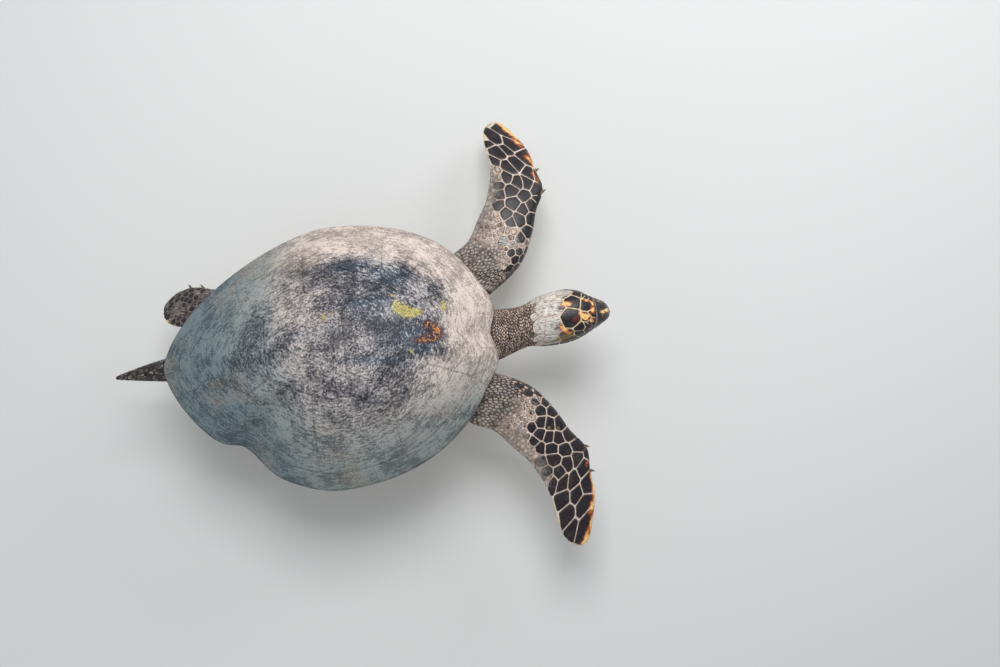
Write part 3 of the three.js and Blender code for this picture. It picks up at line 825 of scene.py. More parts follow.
def trunk_rings(columns=240, wall=16):
    """Rings from the crown down: under the dome, down the soft wall with its bulge, and in over the
    plastron."""
    turn = turns(columns)
    top = [inner_shell(share, turn) - [0, 0, 3]
           for share in (0.2, 0.4, 0.55, 0.65, 0.72, 0.78, 0.81, SHELL["lip"])]
    down = np.linspace(0, 1, wall)[1:, None, None]
    side = top[-1] + (trunk_floor(0.8, turn) - top[-1]) * down
    folds = wrinkles(turn * 300, 8 * np.sin(turn * 9), 26.0)
    out = (top[-1][None] - [CROWN, 0, 0]) * [1, 1, 0]
    side = side + out / long(out) * (np.sin(np.pi * down[..., 0]) * (3.0 + 2.0 * folds))[..., None]
    under = [trunk_floor(share, turn) for share in (0.76, 0.71, 0.65, 0.58, 0.5, 0.4, 0.25)]
    return np.concatenate([top, side, under])


skin_parts["trunk"] = lofted(trunk_rings())
print("trunk", len(skin_parts["trunk"][0]), "points")

# %% [markdown]
# The joined body comes from exact unions. Where two parts meet, the points that neither of them had before
# mark the crease. The marks spread to the neighbours for a few steps, and points are moved to the mean of
# their neighbours by that weight, many times over, until the crease is a soft fold.

# %% Joining the skin
def joined(name, parts):
    """The union of closed bodies, one after another."""
    body, *others = (solid(f"{name}_{label}", banked(points), faces)
                     for label, (points, faces) in parts.items())
    for other in others:
        join = body.modifiers.new("join", "BOOLEAN")
        join.operation, join.solver, join.object = "UNION", "MANIFOLD", other
    mesh = bpy.data.meshes.new_from_object(body.evaluated_get(bpy.context.evaluated_depsgraph_get()))
    for old in (body, *others):
        bpy.data.objects.remove(old)
    mesh.name = name
    return put(name, mesh)


def neighbour_mean(values, ends):
    """The mean of each point's neighbours along the edges."""
    total, count = np.zeros_like(values), np.zeros(len(values))
    for a, b in ((0, 1), (1, 0)):
        for k in range(values.shape[1]):
            total[:, k] += np.bincount(ends[:, a], values[ends[:, b], k], len(values))
        count += np.bincount(ends[:, a], minlength=len(values))
    return np.where(count[:, None] > 0, total / np.maximum(count, 1)[:, None], values)


def eased(spots, ends, weight, rounds):
    """The points moved to the mean of their neighbours by their weight, this many times over."""
    for _ in range(rounds):
        spots = spots + 0.6 * weight[:, None] * (neighbour_mean(spots, ends) - spots)
    return spots


def near_joins(spots, ends, known, spread=7, front=0.36):
    """Weights that mark the points round a join, but none ahead of `front`, and fade over a few steps."""
    key = lambda values: np.round(values * 1e5).astype(np.int64) @ np.array([1, 1 << 20, 1 << 40])
    weight = (~np.isin(key(spots), key(known)) & (spots[:, 0] < front)).astype(float)[:, None]
    print("crease points", int(weight.sum()))
    for _ in range(spread):
        weight = np.maximum(weight, np.minimum(neighbour_mean(weight, ends) * 1.9, 0.96))
    return np.where(weight > 0.02, weight, 0)[:, 0]


def near_eyes(spots):
    """One round the eyes, where the lids' steep edges cross the rows of points."""
    return np.maximum(*(smooth(20, 14, np.linalg.norm(unbanked(spots) - eye_middle(side), axis=1))
                        for side in (1, -1)))


skin = joined("skin", skin_parts)
known = np.concatenate([banked(points)
                        for points, faces in skin_parts.values()]).astype(np.float32).astype(float)
spots = read(skin.data.vertices, "co").astype(float)
ends = read(skin.data.edges, "vertices", 2, np.int32)
short = ends[np.linalg.norm(spots[ends[:, 0]] - spots[ends[:, 1]], axis=1) < 0.012]
spots = eased(spots, short, near_joins(spots, short, known), 26).astype(np.float32).astype(float)
spots = eased(spots, ends, near_eyes(spots), 5)
skin.data.vertices.foreach_set("co", spots.astype(np.float32).ravel())
skin.data.update()
skin.data.shade_smooth()

# %% [markdown]
# ## Shader helpers
# Finishes are node trees. The helpers add their nodes to the one tree that lies on the bench, and what a node
# puts out is a value that can be added, multiplied, ranged and blended in one line. Colours are given as a
# painter would read them off a chart, from 0 to 255, and turned into light here.

# %% Shader helpers
bench = {"tree": None}


def paint(red, green, blue):
    """A chart colour as linear light."""
    value = np.array([red, green, blue]) / 255
    linear = np.where(value <= 0.04045, value / 12.92, ((value + 0.055) / 1.055) ** 2.4)
    return (*linear.tolist(), 1.0)


def wired(made, values):
    """Sets a node's inputs: a value is linked, and a number or a colour is set."""
    for key, value in values.items():
        if isinstance(value, Value):
            bench["tree"].links.new(value.socket, made.inputs[key])
        else:
            made.inputs[key].default_value = value
    return made


def node(kind, values, output=0, **settings):
    """One shader node: `settings` are its own properties, `values` its inputs. Gives one of its outputs."""
    made = bench["tree"].nodes.new("ShaderNode" + kind)
    for key, value in settings.items():
        setattr(made, key, value)
    return Value(wired(made, values).outputs[output])


class Value:
    """What a node puts out."""

    def __init__(self, socket):
        self.socket = socket

    def __add__(self, other):
        return maths("ADD", self, other)

    def __sub__(self, other):
        return maths("SUBTRACT", self, other)

    def __mul__(self, other):
        return maths("MULTIPLY", self, other)

    def ranged(self, low, high, to_low=0.0, to_high=1.0):
        """The value carried smoothly from one range to another."""
        values = {"Value": self, "From Min": low, "From Max": high, "To Min": to_low, "To Max": to_high}
        return node("MapRange", values, "Result", interpolation_type="SMOOTHSTEP")

    def tones(self, low, high, first, second):
        """The first colour up to `low`, the second from `high` on."""
        return mixed(self.ranged(low, high), first, second)


def maths(operation, first, second=0.5):
    return node("Math", {0: first, 1: second}, operation=operation)


def mixed(share, first, second):
    """The first colour where the share is nought, the second where it is one. Three numbers are a chart
    colour."""
    first, second = (paint(*colour) if isinstance(colour, tuple) else colour for colour in (first, second))
    return node("Mix", {0: share, 6: first, 7: second}, 2, data_type="RGBA")


def noise(vector, scale, detail=4.0, roughness=0.55, distortion=0.0):
    values = {"Vector": vector, "Scale": scale, "Detail": detail, "Roughness": roughness,
              "Distortion": distortion}
    return node("TexNoise", values, "Fac")


def mark_of(name, output="Fac"):
    return node("Attribute", {}, output, attribute_name=name)


def place():
    return node("TexCoord", {}, "Object")


def drawn_out(vector, *scale):
    """Places scaled each way, which draws a pattern out where the scale is small."""
    return node("Mapping", {"Vector": vector, "Scale": scale})


def group_of(name, inputs, make):
    """A shader group with these inputs and their standard values; `make` takes them and gives its outputs."""
    tree = bench["tree"] = bpy.data.node_groups.new(name, "ShaderNodeTree")
    for label, value in inputs.items():
        kind = "NodeSocketColor" if isinstance(value, tuple) else "NodeSocketFloat"
        tree.interface.new_socket(label, in_out="INPUT", socket_type=kind).default_value = value
    made = make(*(Value(socket) for socket in tree.nodes.new("NodeGroupInput").outputs if socket.name))
    for label, value in made.items():
        kind = "NodeSocketColor" if label == "Colour" else "NodeSocketFloat"
        tree.interface.new_socket(label, in_out="OUTPUT", socket_type=kind)
    wired_out = tree.nodes.new("NodeGroupOutput")
    for label, value in made.items():
        tree.links.new(value.socket, wired_out.inputs[label])
    return tree


def placed(group, output, **values):
    """One output of a group that is placed in the tree with these inputs."""
    made = bench["tree"].nodes.new("ShaderNodeGroup")
    made.node_tree = group
    return Value(wired(made, values).outputs[output])


def finish(name, colour, roughness, height=None, depth=0.0, **constants):
    """A material: one Principled shader that takes a colour and a roughness, and a bump of this depth in
    metres."""
    made = bpy.data.materials.new(name)
    made.use_nodes = True
    tree = bench["tree"] = made.node_tree
    shader = tree.nodes["Principled BSDF"]
    called = lambda value: value() if callable(value) else value
    values = {key.replace("_", " ").title().replace("Ior", "IOR"): value for key, value in constants.items()}
    wired(shader, values | {"Base Color": called(colour), "Roughness": called(roughness)})
    if height is not None:
        bump = node("Bump", {"Height": height(), "Distance": depth, "Strength": 1.0}, "Normal")
        tree.links.new(bump.socket, shader.inputs["Normal"])
    return made


print("sRGB middle grey is", round(paint(128, 128, 128)[0], 3), "of the light")

# %% [markdown]
# ### Silt and algae
# Everything on this animal wears some of the same film: pale silt that settles in patches, thicker where a
# mask says so, broken up by fine noise. One group makes it for every finish.

# %% Silt and algae
def silt(under, film, amount, grain, soft):
    """The colours' mix and its mask: coarse and fine noise, raised by the amount, and cut off softly."""
    level = noise(place(), 34.0, 5.0, 0.6) * 0.55 + noise(place(), grain, 5.0, 0.68) * 0.75
    mask = (level + amount * 0.75).ranged(maths("SUBTRACT", 0.91, soft), maths("ADD", 0.91, soft))
    return {"Colour": mixed(mask, under, film), "Mask": mask}


def grain(size, coarse):
    """A height from soft noise and the pores between small cells."""
    pores = node("TexVoronoi", {"Vector": place(), "Scale": size}, "Distance")
    return {"Height": noise(place(), size * 0.3, 5.0) * coarse + pores * 0.4}


silt_group = group_of("silt", {"Under": (0.1, 0.1, 0.1, 1), "Silt": paint(150, 152, 146), "Amount": 0.3,
                               "Grain": 260.0, "Soft": 0.2}, silt)
grain_group = group_of("grain", {"Size": 300.0, "Coarse": 0.5}, grain)


def silted(under, film, amount, size):
    """A colour under a film of silt."""
    return placed(silt_group, "Colour", Under=under, Silt=paint(*film), Amount=amount, Grain=size)


def fine_grain(size, coarse=0.8):
    return lambda: placed(grain_group, "Height", Size=size, Coarse=coarse)


print("groups", [group.name for group in bpy.data.node_groups])

# %% [markdown]
# ## The carapace
# Under the plates lies one thick shell of bone with a rounded rim. A lathe can't make it, as its plan is no
# circle, so it is a run of rings again, scaled copies of the rim on the dome, down over the edge and back
# in beneath. The plates on it keep the pattern of the species: five along the middle, four on each side,
# and a row of small ones round the rim. This old animal's are worn smooth, so they hardly overlap and the
# seams are fine lines.

# %% The carapace's core
PLATE = 2.2  # how thick the plates are


def core_rings(columns=300):
    """Rings out from the crown to the rim, round the edge, and back in over the shelf into the dome."""
    turn = turns(columns)
    x, y = rim(turn)
    rise = rim_height(x, y)
    ring = lambda share, z: xyz(CROWN + (x - CROWN) * share, y * share, z)
    shares = np.sin(np.linspace(0.04, 1.45, 44)) * 0.985 / math.sin(1.45)
    outer = [ring(share, dome(share, rise) - (PLATE - 0.2)) for share in shares]
    edge = [ring(share, rise - SHELL["rim"] * down)
            for share, down in ((0.992, -0.12), (0.998, 0.14), (0.999, 0.4), (0.997, 0.68), (0.99, 0.9))]
    inwards = (0.98, 0.95, 0.92, 0.88, SHELL["lip"], 0.81, 0.78, 0.72, 0.6, 0.4, 0.2)
    return np.stack(outer + edge + [inner_shell(share, turn) for share in inwards])


def patches(x, y, table):
    """The sum of soft oval spots, at most one."""
    spots = (size * np.exp(-(((x - at_x) / a) ** 2 + ((y - at_y) / b) ** 2))
             for at_x, at_y, a, b, size in table)
    return np.clip(sum(spots), 0, 1)


# x, y, how far it spreads each way, how strong
LIME = ((184, 56, 18, 11, 1.1), (200, 41, 20, 13, 1.1), (218, 44, 18, 7, 1.0), (276, 56, 7, 16, 1.1),
        (200, -40, 7, 6, 1.1), (22, 46, 8, 12, 1.0), (44, 58, 20, 5, 0.7), (168, 86, 14, 4, 0.9),
        (176, 70, 5, 7, 1.0))
BARE = ((252, 2, 24, 19, 1.0), (226, -18, 32, 10, 0.9), (240, 18, 10, 8, 0.8))
DARK = ((178, 138, 52, 24, 1.0), (96, 168, 62, 18, 0.8), (262, 100, 34, 26, 0.7), (120, 72, 55, 16, 0.7),
        (226, -18, 45, 20, 0.9), (120, -54, 44, 14, 0.6), (-20, 20, 60, 14, 0.3))


def film_over(x, y):
    """The film's amount: thicker on the margins and to the rear, thinner on the dark patches."""
    margin = smooth(0.5 - 0.12 * smooth(40, -250, y), 0.9, shell_share(x, y))
    film = 0.33 + 0.47 * margin + 0.10 * smooth(20, -290, x) + 0.10 * bell(y - 60, 60) * bell(x + 120, 120)
    return np.clip(film - 0.12 * bell(x - 190, 110) * bell(y - 30, 90) - 0.34 * patches(x, y, DARK), 0, 1)


def far_side_shade(x, y):
    """A mask of painted shade: one on the far side of the shell, to the rear and the right."""
    return np.clip(0.95 * smooth(20, -290, x) + 0.55 * smooth(40, -250, y) * shell_share(x, y), 0, 1)


def streaks_run(x, y):
    """The streaks' own space: slow round the dome, quick on the way out."""
    turn = np.arctan2(y, x - CROWN)
    return xyz(0.11 * np.cos(turn), 0.11 * np.sin(turn), 0.66 * shell_share(x, y))


# The rear mark is painted shade on the far side of the shell.
SHELL_MARKS = {"film": film_over, "rear": far_side_shade, "lime": lambda x, y: patches(x, y, LIME),
               "bare": lambda x, y: patches(x, y, BARE)}

core_points, core_faces = lofted(core_rings())
plan = core_points[:, 0], core_points[:, 1]
core = solid("carapace_core", banked(core_points), core_faces, bone_marks(core_points)
             | {label: of_place(*plan) for label, of_place in SHELL_MARKS.items()}
             | {"run": streaks_run(*plan)})
print("core", len(core_points), "points")

# %% Its plates
PLATE_FORM = ((1.0, 0.992, 0.98, 0.96, 0.92, 0.86, 0.79, 0.72, 0.65, 0.58, 0.5, 0.42, 0.34, 0.26, 0.17, 0.08),
              (0.55, 0.78, 0.86, 0.9, 0.93, 0.95, 0.96, 0.97, 0.98, 0.98) + 5 * (0.99,))
SEAM = 1.1
INNER_FENCE, RIM_FENCE = 0.885, (0.890, 0.992)  # shares of the way out that bound large and small plates
MIDDLE = ((296, 2), (146, 0), (-30, 2), (-186, 0), (-306, 0))
FLANK = ((238, 172), (60, 176), (-112, 160), (-248, 112))
RIM_PLATES = 25  # the nape's, eleven down each side, and the last pair
inner_seeds = np.array([*MIDDLE, *FLANK, *((x, -y) for x, y in FLANK)], float)
inner_weight = np.array([-900, 1500, 2600, 1200, -300.0] + 8 * [0])


def rim_seeds():
    """Seeds evenly round the rim, the first at the nape, in the middle of the row."""
    x, y = np.append(RIM_X, RIM_X[0]), np.append(RIM_Y, RIM_Y[0])
    run = np.concatenate([[0], np.cumsum(np.hypot(np.diff(x), np.diff(y)))])
    at = (run[720] + run[-1] * np.arange(RIM_PLATES) / RIM_PLATES) % run[-1]
    share = sum(RIM_FENCE) / 2
    return xyz(CROWN + (np.interp(at, run, x) - CROWN) * share, np.interp(at, run, y) * share)


def plate_reach(seeds, low, high, widest, corners, weight=0.0):
    reach = np.minimum(cells(seeds, SEAM, corners, sharp=36.0, weight=weight), widest)
    return fenced(seeds, reach, lambda x, y: (shell_share(x, y) > low) & (shell_share(x, y) < high))


def shell_plates(name, seeds, reach):
    made = scales(name, plan_on(shell_height), plan_unwrap, seeds, reach, PLATE, PLATE_FORM, SHELL_MARKS,
                  -PLATE - 0.3)
    x, y, _ = unbanked(read(made.data.vertices, "co").astype(float)).T
    mark(made.data, {"run": streaks_run(x, y)})
    return made


inner_reach = plate_reach(inner_seeds, -1, INNER_FENCE, 320.0, 120, inner_weight)
count = len(MIDDLE)
shell_pieces = [core, shell_plates("vertebral_plates", inner_seeds[:count], inner_reach[:count]),
                shell_plates("costal_plates", inner_seeds[count:], inner_reach[count:]),
                shell_plates("marginal_plates", rim_seeds(), plate_reach(rim_seeds(), *RIM_FENCE, 90.0, 96))]
print("plates", len(inner_seeds) + RIM_PLATES)

# %% [markdown]
# Old shell looks like slate through a dirty window: charcoal and slate blue in fine flecks, brushed by fine
# scratches that run round the dome, a pale film that thickens to the margins, and a few bright growths. The
# scratches are a noise stretched along the shell's own run. The film is pale and warm on the lit margin,
# which is painted light, and both slate and film turn a darker teal to the rear and the right, painted shade
# of the far side.

# %% The shell's finish
def shell_colour():
    spot, film, rear, bare_mark = place(), mark_of("film"), mark_of("rear"), mark_of("bare")
    specks = noise(spot, 250.0, 5.0, 0.72).ranged(0.36, 0.64)
    strokes = noise(mark_of("run", "Vector"), 120.0, 6.0, 0.72).ranged(0.36, 0.64)
    clouds = noise(spot, 14.0, 9.0, 0.72).ranged(0.36, 0.64)
    light = specks * 0.30 + strokes * 0.34 + clouds * 0.36
    slate = light.tones(0.25, 0.62, (34, 37, 48), (76, 86, 100))
    slate = light.tones(0.56, 0.88, slate, (184, 184, 186))
    plum = noise(spot, 19.0, 4.0).ranged(0.54, 0.66, 0.0, 0.6)
    slate = mixed(plum * specks.ranged(0.7, 0.2), slate, (40, 28, 40))
    # To the rear and the right the slate turns a darker teal: painted shade of the side away from the light.
    slate = mixed(rear * 0.8, slate, light.tones(0.25, 0.7, (36, 50, 60), (88, 110, 120)))
    # The silt film in three copies: pale and warm as painted light on the lit margin, a middling grey, and a
    # deep teal as painted shade on the far side; the rear mark picks among them.
    pale, half_shaded_film, shaded_film = (light.tones(0.25, 0.7, *pair) for pair in (
        ((166, 154, 146), (230, 214, 204)), ((102, 111, 113), (154, 160, 157)),
        ((74, 91, 98), (122, 137, 141))))
    pale = rear.tones(0.45, 0.95, rear.tones(0.0, 0.5, pale, half_shaded_film), shaded_film)
    umber = noise(spot, 9.0, 6.0, 0.6).ranged(0.48, 0.66, 0.0, 0.4)
    pale = mixed(umber, pale, mixed(specks, (112, 98, 86), (176, 160, 144)))
    coated = (film + light * 0.5).tones(0.36, 1.02, slate, pale)
    ragged = noise(spot, 120.0, 7.0, 0.8)
    lime = (mark_of("lime") + ragged * 2.6).ranged(1.72, 2.15, 0.0, 0.85)
    coated = mixed(lime, coated, mixed(specks, (136, 124, 66), (218, 202, 112)))
    bare = (bare_mark + ragged * 2.0).ranged(1.30, 1.70, 0.0, 0.85)
    coated = mixed(bare, coated, mixed(specks, (34, 18, 28), (84, 40, 44)))
    vein = maths("ABSOLUTE", noise(spot, 62.0, 3.0, 0.6) - 0.5)
    coated = mixed(vein.ranged(0.034, 0.012) * bare_mark.ranged(0.6, 0.9), coated, (224, 152, 74))
    seam = mark_of("edge").ranged(0.985, 1.0, 0.0, 0.5) * film.ranged(0.2, 0.75, 0.8, 0.35)
    return mixed(seam, coated, (50, 54, 54))


def scratches():
    strokes = noise(mark_of("run", "Vector"), 420.0, 5.0, 0.7)
    return strokes * 0.8 + fine_grain(420.0, 1.2)()


shell_finish = finish("worn_shell", shell_colour, lambda: mark_of("film").ranged(0.0, 0.8, 0.42, 0.78),
                      scratches, 0.0005, specular_ior_level=0.35)
for piece, nodes in zip(shell_pieces, (["carapace"], [], [], [])):
    dressed(piece, "scute", shell_finish, *nodes)

# %% [markdown]
# ## Where the skin's scales go
# Large shields cover the top of the head and large plates the blades of the front limbs; both were set out
# one by one, as each animal has its own. Everything between is filled with small scales of a size that
# suits the place. Those that meet round the throat or over a trailing edge see their neighbours across it.

# %% Laying scales out on a sheet
skin_tree = BVHTree.FromPolygons(read(skin.data.vertices, "co").tolist(),
                                 [tuple(face.vertices) for face in skin.data.polygons])


def seen(sheet, seeds, deepest=3.0):
    """The seeds that lie on the joined skin, not under another part of it."""
    spots = banked(sheet.on(seeds[:, 0], seeds[:, 1], -COAT))
    far = np.array([skin_tree.find_nearest(spot)[3] for spot in spots.tolist()])
    return seeds[far < deepest * MM]


def near_edge(sheet, seeds, near):
    return np.abs(seeds[:, 1]) > sheet.half(seeds[:, 0], seeds[:, 1]) - near


def across_edge(sheet, seeds, near):
    """The same seeds as seen from the other side of the line where the two half rings meet."""
    s, p = seeds[near_edge(sheet, seeds, near)].T
    return xyz(s, p - np.sign(p) * 2 * sheet.half(s, p))


def filled(sheet, box, size, plates, inside, darts):
    """Small seeds between the plates: thrown, kept where the skin is seen, and evened out."""
    small = seen(sheet, thrown(box, size, darts, plates))
    everything = np.concatenate([small, plates, across_edge(sheet, np.concatenate([small, plates]), 20)])
    small = settled(everything, len(small))[:len(small)]
    return small[inside(small[:, 0], small[:, 1])]


def reach_among(sheet, seeds, sizes, first, last, gap, corners, rivals, sharp, edge=30.0):
    """The reach of the cells from `first` to `last`, given all seeds, their sizes as weights and their mirror
    images over the edge."""
    order = np.concatenate([np.arange(first, last), np.arange(0, first), np.arange(last, len(seeds))])
    every = np.concatenate([seeds[order], across_edge(sheet, seeds, edge)])
    weight = np.concatenate([sizes[order], sizes[near_edge(sheet, seeds, edge)]]) ** 2
    return cells(every, gap, corners, sharp, weight, rivals, last - first)


def coat(name, sheet, box, size, inside, darts, plates, marks, small_kind, big_kind=None):
    """All scales of one sheet: the small ones fill in between the plates, and both grow until they meet. A
    kind gives a piece's name, its scales' size, height, gap, corners, widest reach and form."""
    seeds, sizes = plates[:, :2], plates[:, 2]
    small = filled(sheet, box, size, seeds, inside, darts)
    every, count = np.concatenate([seeds, small]), len(seeds)
    weights = np.concatenate([sizes, np.full(len(small), small_kind["size"])])
    for kind, first, last, rivals, sharp in ((big_kind, 0, count, 60, 20.0),
                                             (small_kind, count, len(every), 20, 12.0)):
        if kind is None:
            continue
        reach = reach_among(sheet, every, weights, first, last, kind["gap"], kind["corners"], rivals, sharp)
        reach = fenced(every[first:last], np.minimum(reach, kind["widest"]), inside)
        label = name + kind["name"]
        pieces[label] = scales(label, sheet.on, sheet.unwrap, every[first:last], reach, kind["height"],
                               kind["form"], marks)
    print(name, count, "large and", len(small), "small scales")


pieces = {}

# %% [markdown]
# The pebbles of the neck are longer round it than along it. So they are laid out on a sheet whose neck is
# stretched along, where they are as round as any, and come out narrow when it is put back.

# %% The head's shields
STRETCH = {"before": 468, "by": 0.95}


def stretched(x):
    return x - STRETCH["by"] * np.maximum(0, STRETCH["before"] - x)


def unstretched(w):
    return w + STRETCH["by"] / (1 + STRETCH["by"]) * np.maximum(0, STRETCH["before"] - w)


# place along, distance to the left of the crown line, radius
TOP_SHIELDS = ((552, -19, 21), (561, 17, 15), (545, 50, 16), (594, 9, 13), (589, -21, 8), (512, -32, 18),
               (524, 9, 16), (490, 17, 15), (478, -24, 15), (541, -62, 12), (505, -73, 12), (573, -45, 10),
               (506, 54, 16), (474, 50, 12), (575, 40, 9), (604, -9, 7), (608, 24, 7), (469, -55, 9),
               (466, 2, 8))
SIDE_SHIELDS = ((572, 64, 11), (549, 80, 12), (524, 84, 12), (499, 86, 12), (476, 80, 9), (592, 76, 9),
                (610, 62, 8), (585, 92, 10), (562, 101, 11), (537, 106, 11), (511, 109, 11), (486, 108, 10),
                (604, 38, 5))
LONE_SHIELD = 84  # the shield at this distance has no fellow on the right


def on_head_skin(x, p, margin=0.6):
    """True where scales may lie: behind the horn and outside the lids."""
    bare = head_sheet.bare(x, p)
    chin = (x > MOUTH["cheek"] - 2 - margin) & (bare[..., 2] < mouth_height(x) + 1.0)
    inside = np.abs(p) < head_sheet.half(x, p) - 0.4
    clear = (x < horn_start(bare[..., 2]) - margin) & ~chin & (x > 346) & inside
    return clear & (from_lids(bare, 1) > 3.4 + margin) & (from_lids(bare, -1) > 3.4 + margin)


def lid_shields():
    """A ring of eleven small shields round each eye's lids."""
    for side in (1, -1):
        out, forwards, upwards = eye_axes(side)
        for c, s in circle(11):
            wide, tall = LIDS["long"] + 5.4, LIDS["high"] + 8.2
            spot = eye_middle(side) + out * 9 + forwards * c * wide + upwards * s * tall
            yield (*nearest_on_head(spot, (560, 630), (12 * side, 90 * side)), 4.6)


right_side = tuple((x, -p, r) for x, p, r in SIDE_SHIELDS if p != LONE_SHIELD)
table = np.array(TOP_SHIELDS + SIDE_SHIELDS + right_side, float)
round_lids = np.array(list(lid_shields()))
apart = np.linalg.norm(table[:, None, :2] - round_lids[None, :, :2], axis=-1).min(1)
shields = np.concatenate([table[apart > 7], round_lids])
shields = shields[on_head_skin(shields[:, 0], shields[:, 1], 2.0)]


def clearance(s, p, plates):
    """How far a place lies outside the nearest plate."""
    return (np.hypot(s[..., None] - plates[:, 0], p[..., None] - plates[:, 1]) - plates[:, 2]).min(-1)


def pebble_spacing(w, p):
    """How far apart the small scales of head and neck stand: none on the horn, the lids or the shields, and
    where shields reach, only the gaps between them take a small one."""
    x = unstretched(w)
    share = head_sheet.share(x, p)
    size = 5.7 + 2.4 * smooth(440, 470, x) + 2.0 * smooth(0.72, 0.86, share) * smooth(440, 480, x)
    size = np.where(on_head_skin(x, p, 1.5), size + 0.7 * smooth(0.5, 0.9, share), -1)
    top = smooth(472, 482, x) * smooth(0.86, 0.8, share)
    return np.where(clearance(w, p, shields) > 6 + 9 * top, size, -1)


class Stretched(Sheet):
    """The head's sheet with its neck stretched along."""

    def __init__(self, sheet):
        self.__dict__.update(sheet.__dict__)

    def half(self, s, p):
        return Sheet.half(self, unstretched(s), p)

    def on(self, s, p, lift=0.0):
        return head_sheet.on(unstretched(s), p, lift)

    def unwrap(self, s, p):
        return head_sheet.unwrap(unstretched(s), p)


# x, p, spread each way, strength
AMBER = ((541, 14, 9, 7, 1.1), (553, 11, 8, 5, 0.9), (592, 19, 9, 4, 1), (606, 12, 5, 8, 1),
         (604, -4, 6, 8, 1), (590, -17, 8, 6, 1), (585, -25, 5, 4, 0.8), (574, -10, 5, 5, 0.9),
         (580, -18, 6, 7, 1.1), (529, -38, 8, 6, 1), (537, -47, 8, 6, 1), (546, -56, 9, 5, 0.9),
         (600, -28, 8, 6, 0.8), (611, 26, 5, 5, 0.5))
MAROON = ((563, -27, 10, 8, 1), (568, -20, 8, 6, 0.8), (604, 30, 8, 6, 0.4))
OLIVE = ((539, -66, 26, 9, 1), (505, -76, 26, 10, 0.7), (540, 84, 40, 14, 0.6), (560, -90, 30, 14, 0.6))


def head_sheen_and_silt(x, p):
    """Pale streaks over the back of the head, part painted sheen and part silt: each shield takes its own by
    where its middle lies.
    """
    plate = lambda value: value[..., -2:-1] + 0 * value if value.ndim > 1 else value
    back = smooth(566, 506, plate(x) + 9 * np.sin(plate(p) / 11)) * 0.75 + 0.4 * smooth(560, 500, x)
    back = back * smooth(104, 70, np.abs(p))
    back = back + 0.3 * patches(x, p, ((561, 17, 12, 12, 1), (546, 50, 18, 10, 0.8)))
    return back - 0.5 * patches(x, p, ((518, -36, 20, 16, 1), (530, 6, 14, 9, 0.7)))


def none(s, p):
    return 0 * s


head_marks = {"amber": lambda x, p: patches(x, p, AMBER), "maroon": lambda x, p: patches(x, p, MAROON),
              "olive": lambda x, p: patches(x, p, OLIVE), "sheen_and_silt": head_sheen_and_silt, "dust": none,
              "under": lambda w, p: smooth(0.66, 0.88, head_sheet.share(unstretched(w), p))}
coat("", Stretched(head_sheet), ((float(stretched(347)), 612), (-155, 155)), pebble_spacing,
     lambda w, p: on_head_skin(unstretched(w), p), 40000, shields, head_marks,
     {"name": "neck_pebbles", "size": 2.6, "height": 1.25, "gap": 0.9, "corners": 12, "widest": 9,
      "form": PEBBLED},
     {"name": "head_shields", "height": np.where(shields[:, 2] > 6, 1.35, 1.1), "gap": 1.5, "corners": 60,
      "widest": 40, "form": ROUNDED})

# %% The front flippers' plates
# place along the limb, distance from the leading edge over the top, radius
RIGHT_PLATES = (
    (98, 19, 11), (79, 48, 10), (103, 61, 11), (118, 45, 11), (131, 20, 15), (124, 77, 10), (142, 62, 10),
    (156, 45, 11), (164, 18, 14), (168, 72, 11), (187, 52, 12), (198, 20, 15), (192, 86, 13), (216, 66, 12),
    (221, 37, 13), (245, 28, 14), (223, 90, 12), (179, 113, 11), (205, 118, 11), (257, 55, 13),
    (249, 86, 13), (237, 113, 11), (284, 22, 15), (288, 52, 13), (279, 92, 15), (318, 38, 16), (318, 88, 18),
    (362, 26, 22), (356, 74, 19), (70, 20, 9), (56, 44, 9), (150, 95, 9), (132, 98, 8), (100, 84, 8),
    (225, 10, 6), (46, 16, 10), (31, 39, 9), (18, 17, 9), (5, 36, 8), (-8, 16, 8))
LEFT_PLATES = (
    (366, 24, 20), (342, 76, 20), (323, 42, 17), (293, 90, 15), (293, 24, 15), (268, 50, 13), (255, 78, 12),
    (268, 104, 9), (247, 30, 11), (216, 68, 12), (228, 92, 10), (218, 44, 11), (195, 78, 12), (208, 20, 13),
    (186, 48, 10), (166, 20, 13), (163, 66, 12), (151, 41, 10), (127, 49, 12), (134, 16, 13), (100, 20, 12),
    (80, 38, 11), (118, 66, 9), (59, 10, 9), (50, 34, 9), (134, 80, 10), (179, 108, 9), (203, 116, 9),
    (153, 104, 10), (66, 78, 12), (306, 62, 8), (320, 104, 9), (240, 10, 8), (184, 12, 8), (62, 58, 8),
    (36, 14, 10), (28, 36, 10), (42, 52, 9), (12, 17, 9), (6, 38, 8), (-10, 16, 8))
# place, distance from the edge, spread along and across, strength
LEFT_FLAMES = ((388, 12, 14, 10, 1), (367, 17, 12, 11, 1), (352, 8, 9, 8, 0.9), (333, 21, 14, 11, 1),
               (291, 17, 11, 9, 0.9), (270, 6, 16, 6, 0.7), (248, 20, 8, 7, 0.6), (232, 14, 12, 10, 0.5))
RIGHT_FLAMES = ((384, 17, 12, 9, 1), (366, 8, 12, 7, 0.9), (334, 13, 13, 10, 1), (305, 6, 14, 7, 0.9),
                (278, 5, 14, 5, 0.6), (244, 14, 10, 8, 0.6))
LEFT_SPOTS, RIGHT_SPOTS = ((205, 6, 12, 5, 0.9),), ((124, 52, 6, 4, 1), (137, 32, 5, 4, 1))


def on_both_faces(table, sheet):
    """The plates of the top, and for the underside the same mirrored, a little further from the edge so that
    those on the edge wrap round it."""
    table = np.array(table, float)
    under = table * [1, -1, 1] + [0, -7, 0]
    under[:, 0] += 5 * np.sin(under[:, 1] / 17)
    both = np.concatenate([table, under])
    return both[~near_edge(sheet, both, 3)]


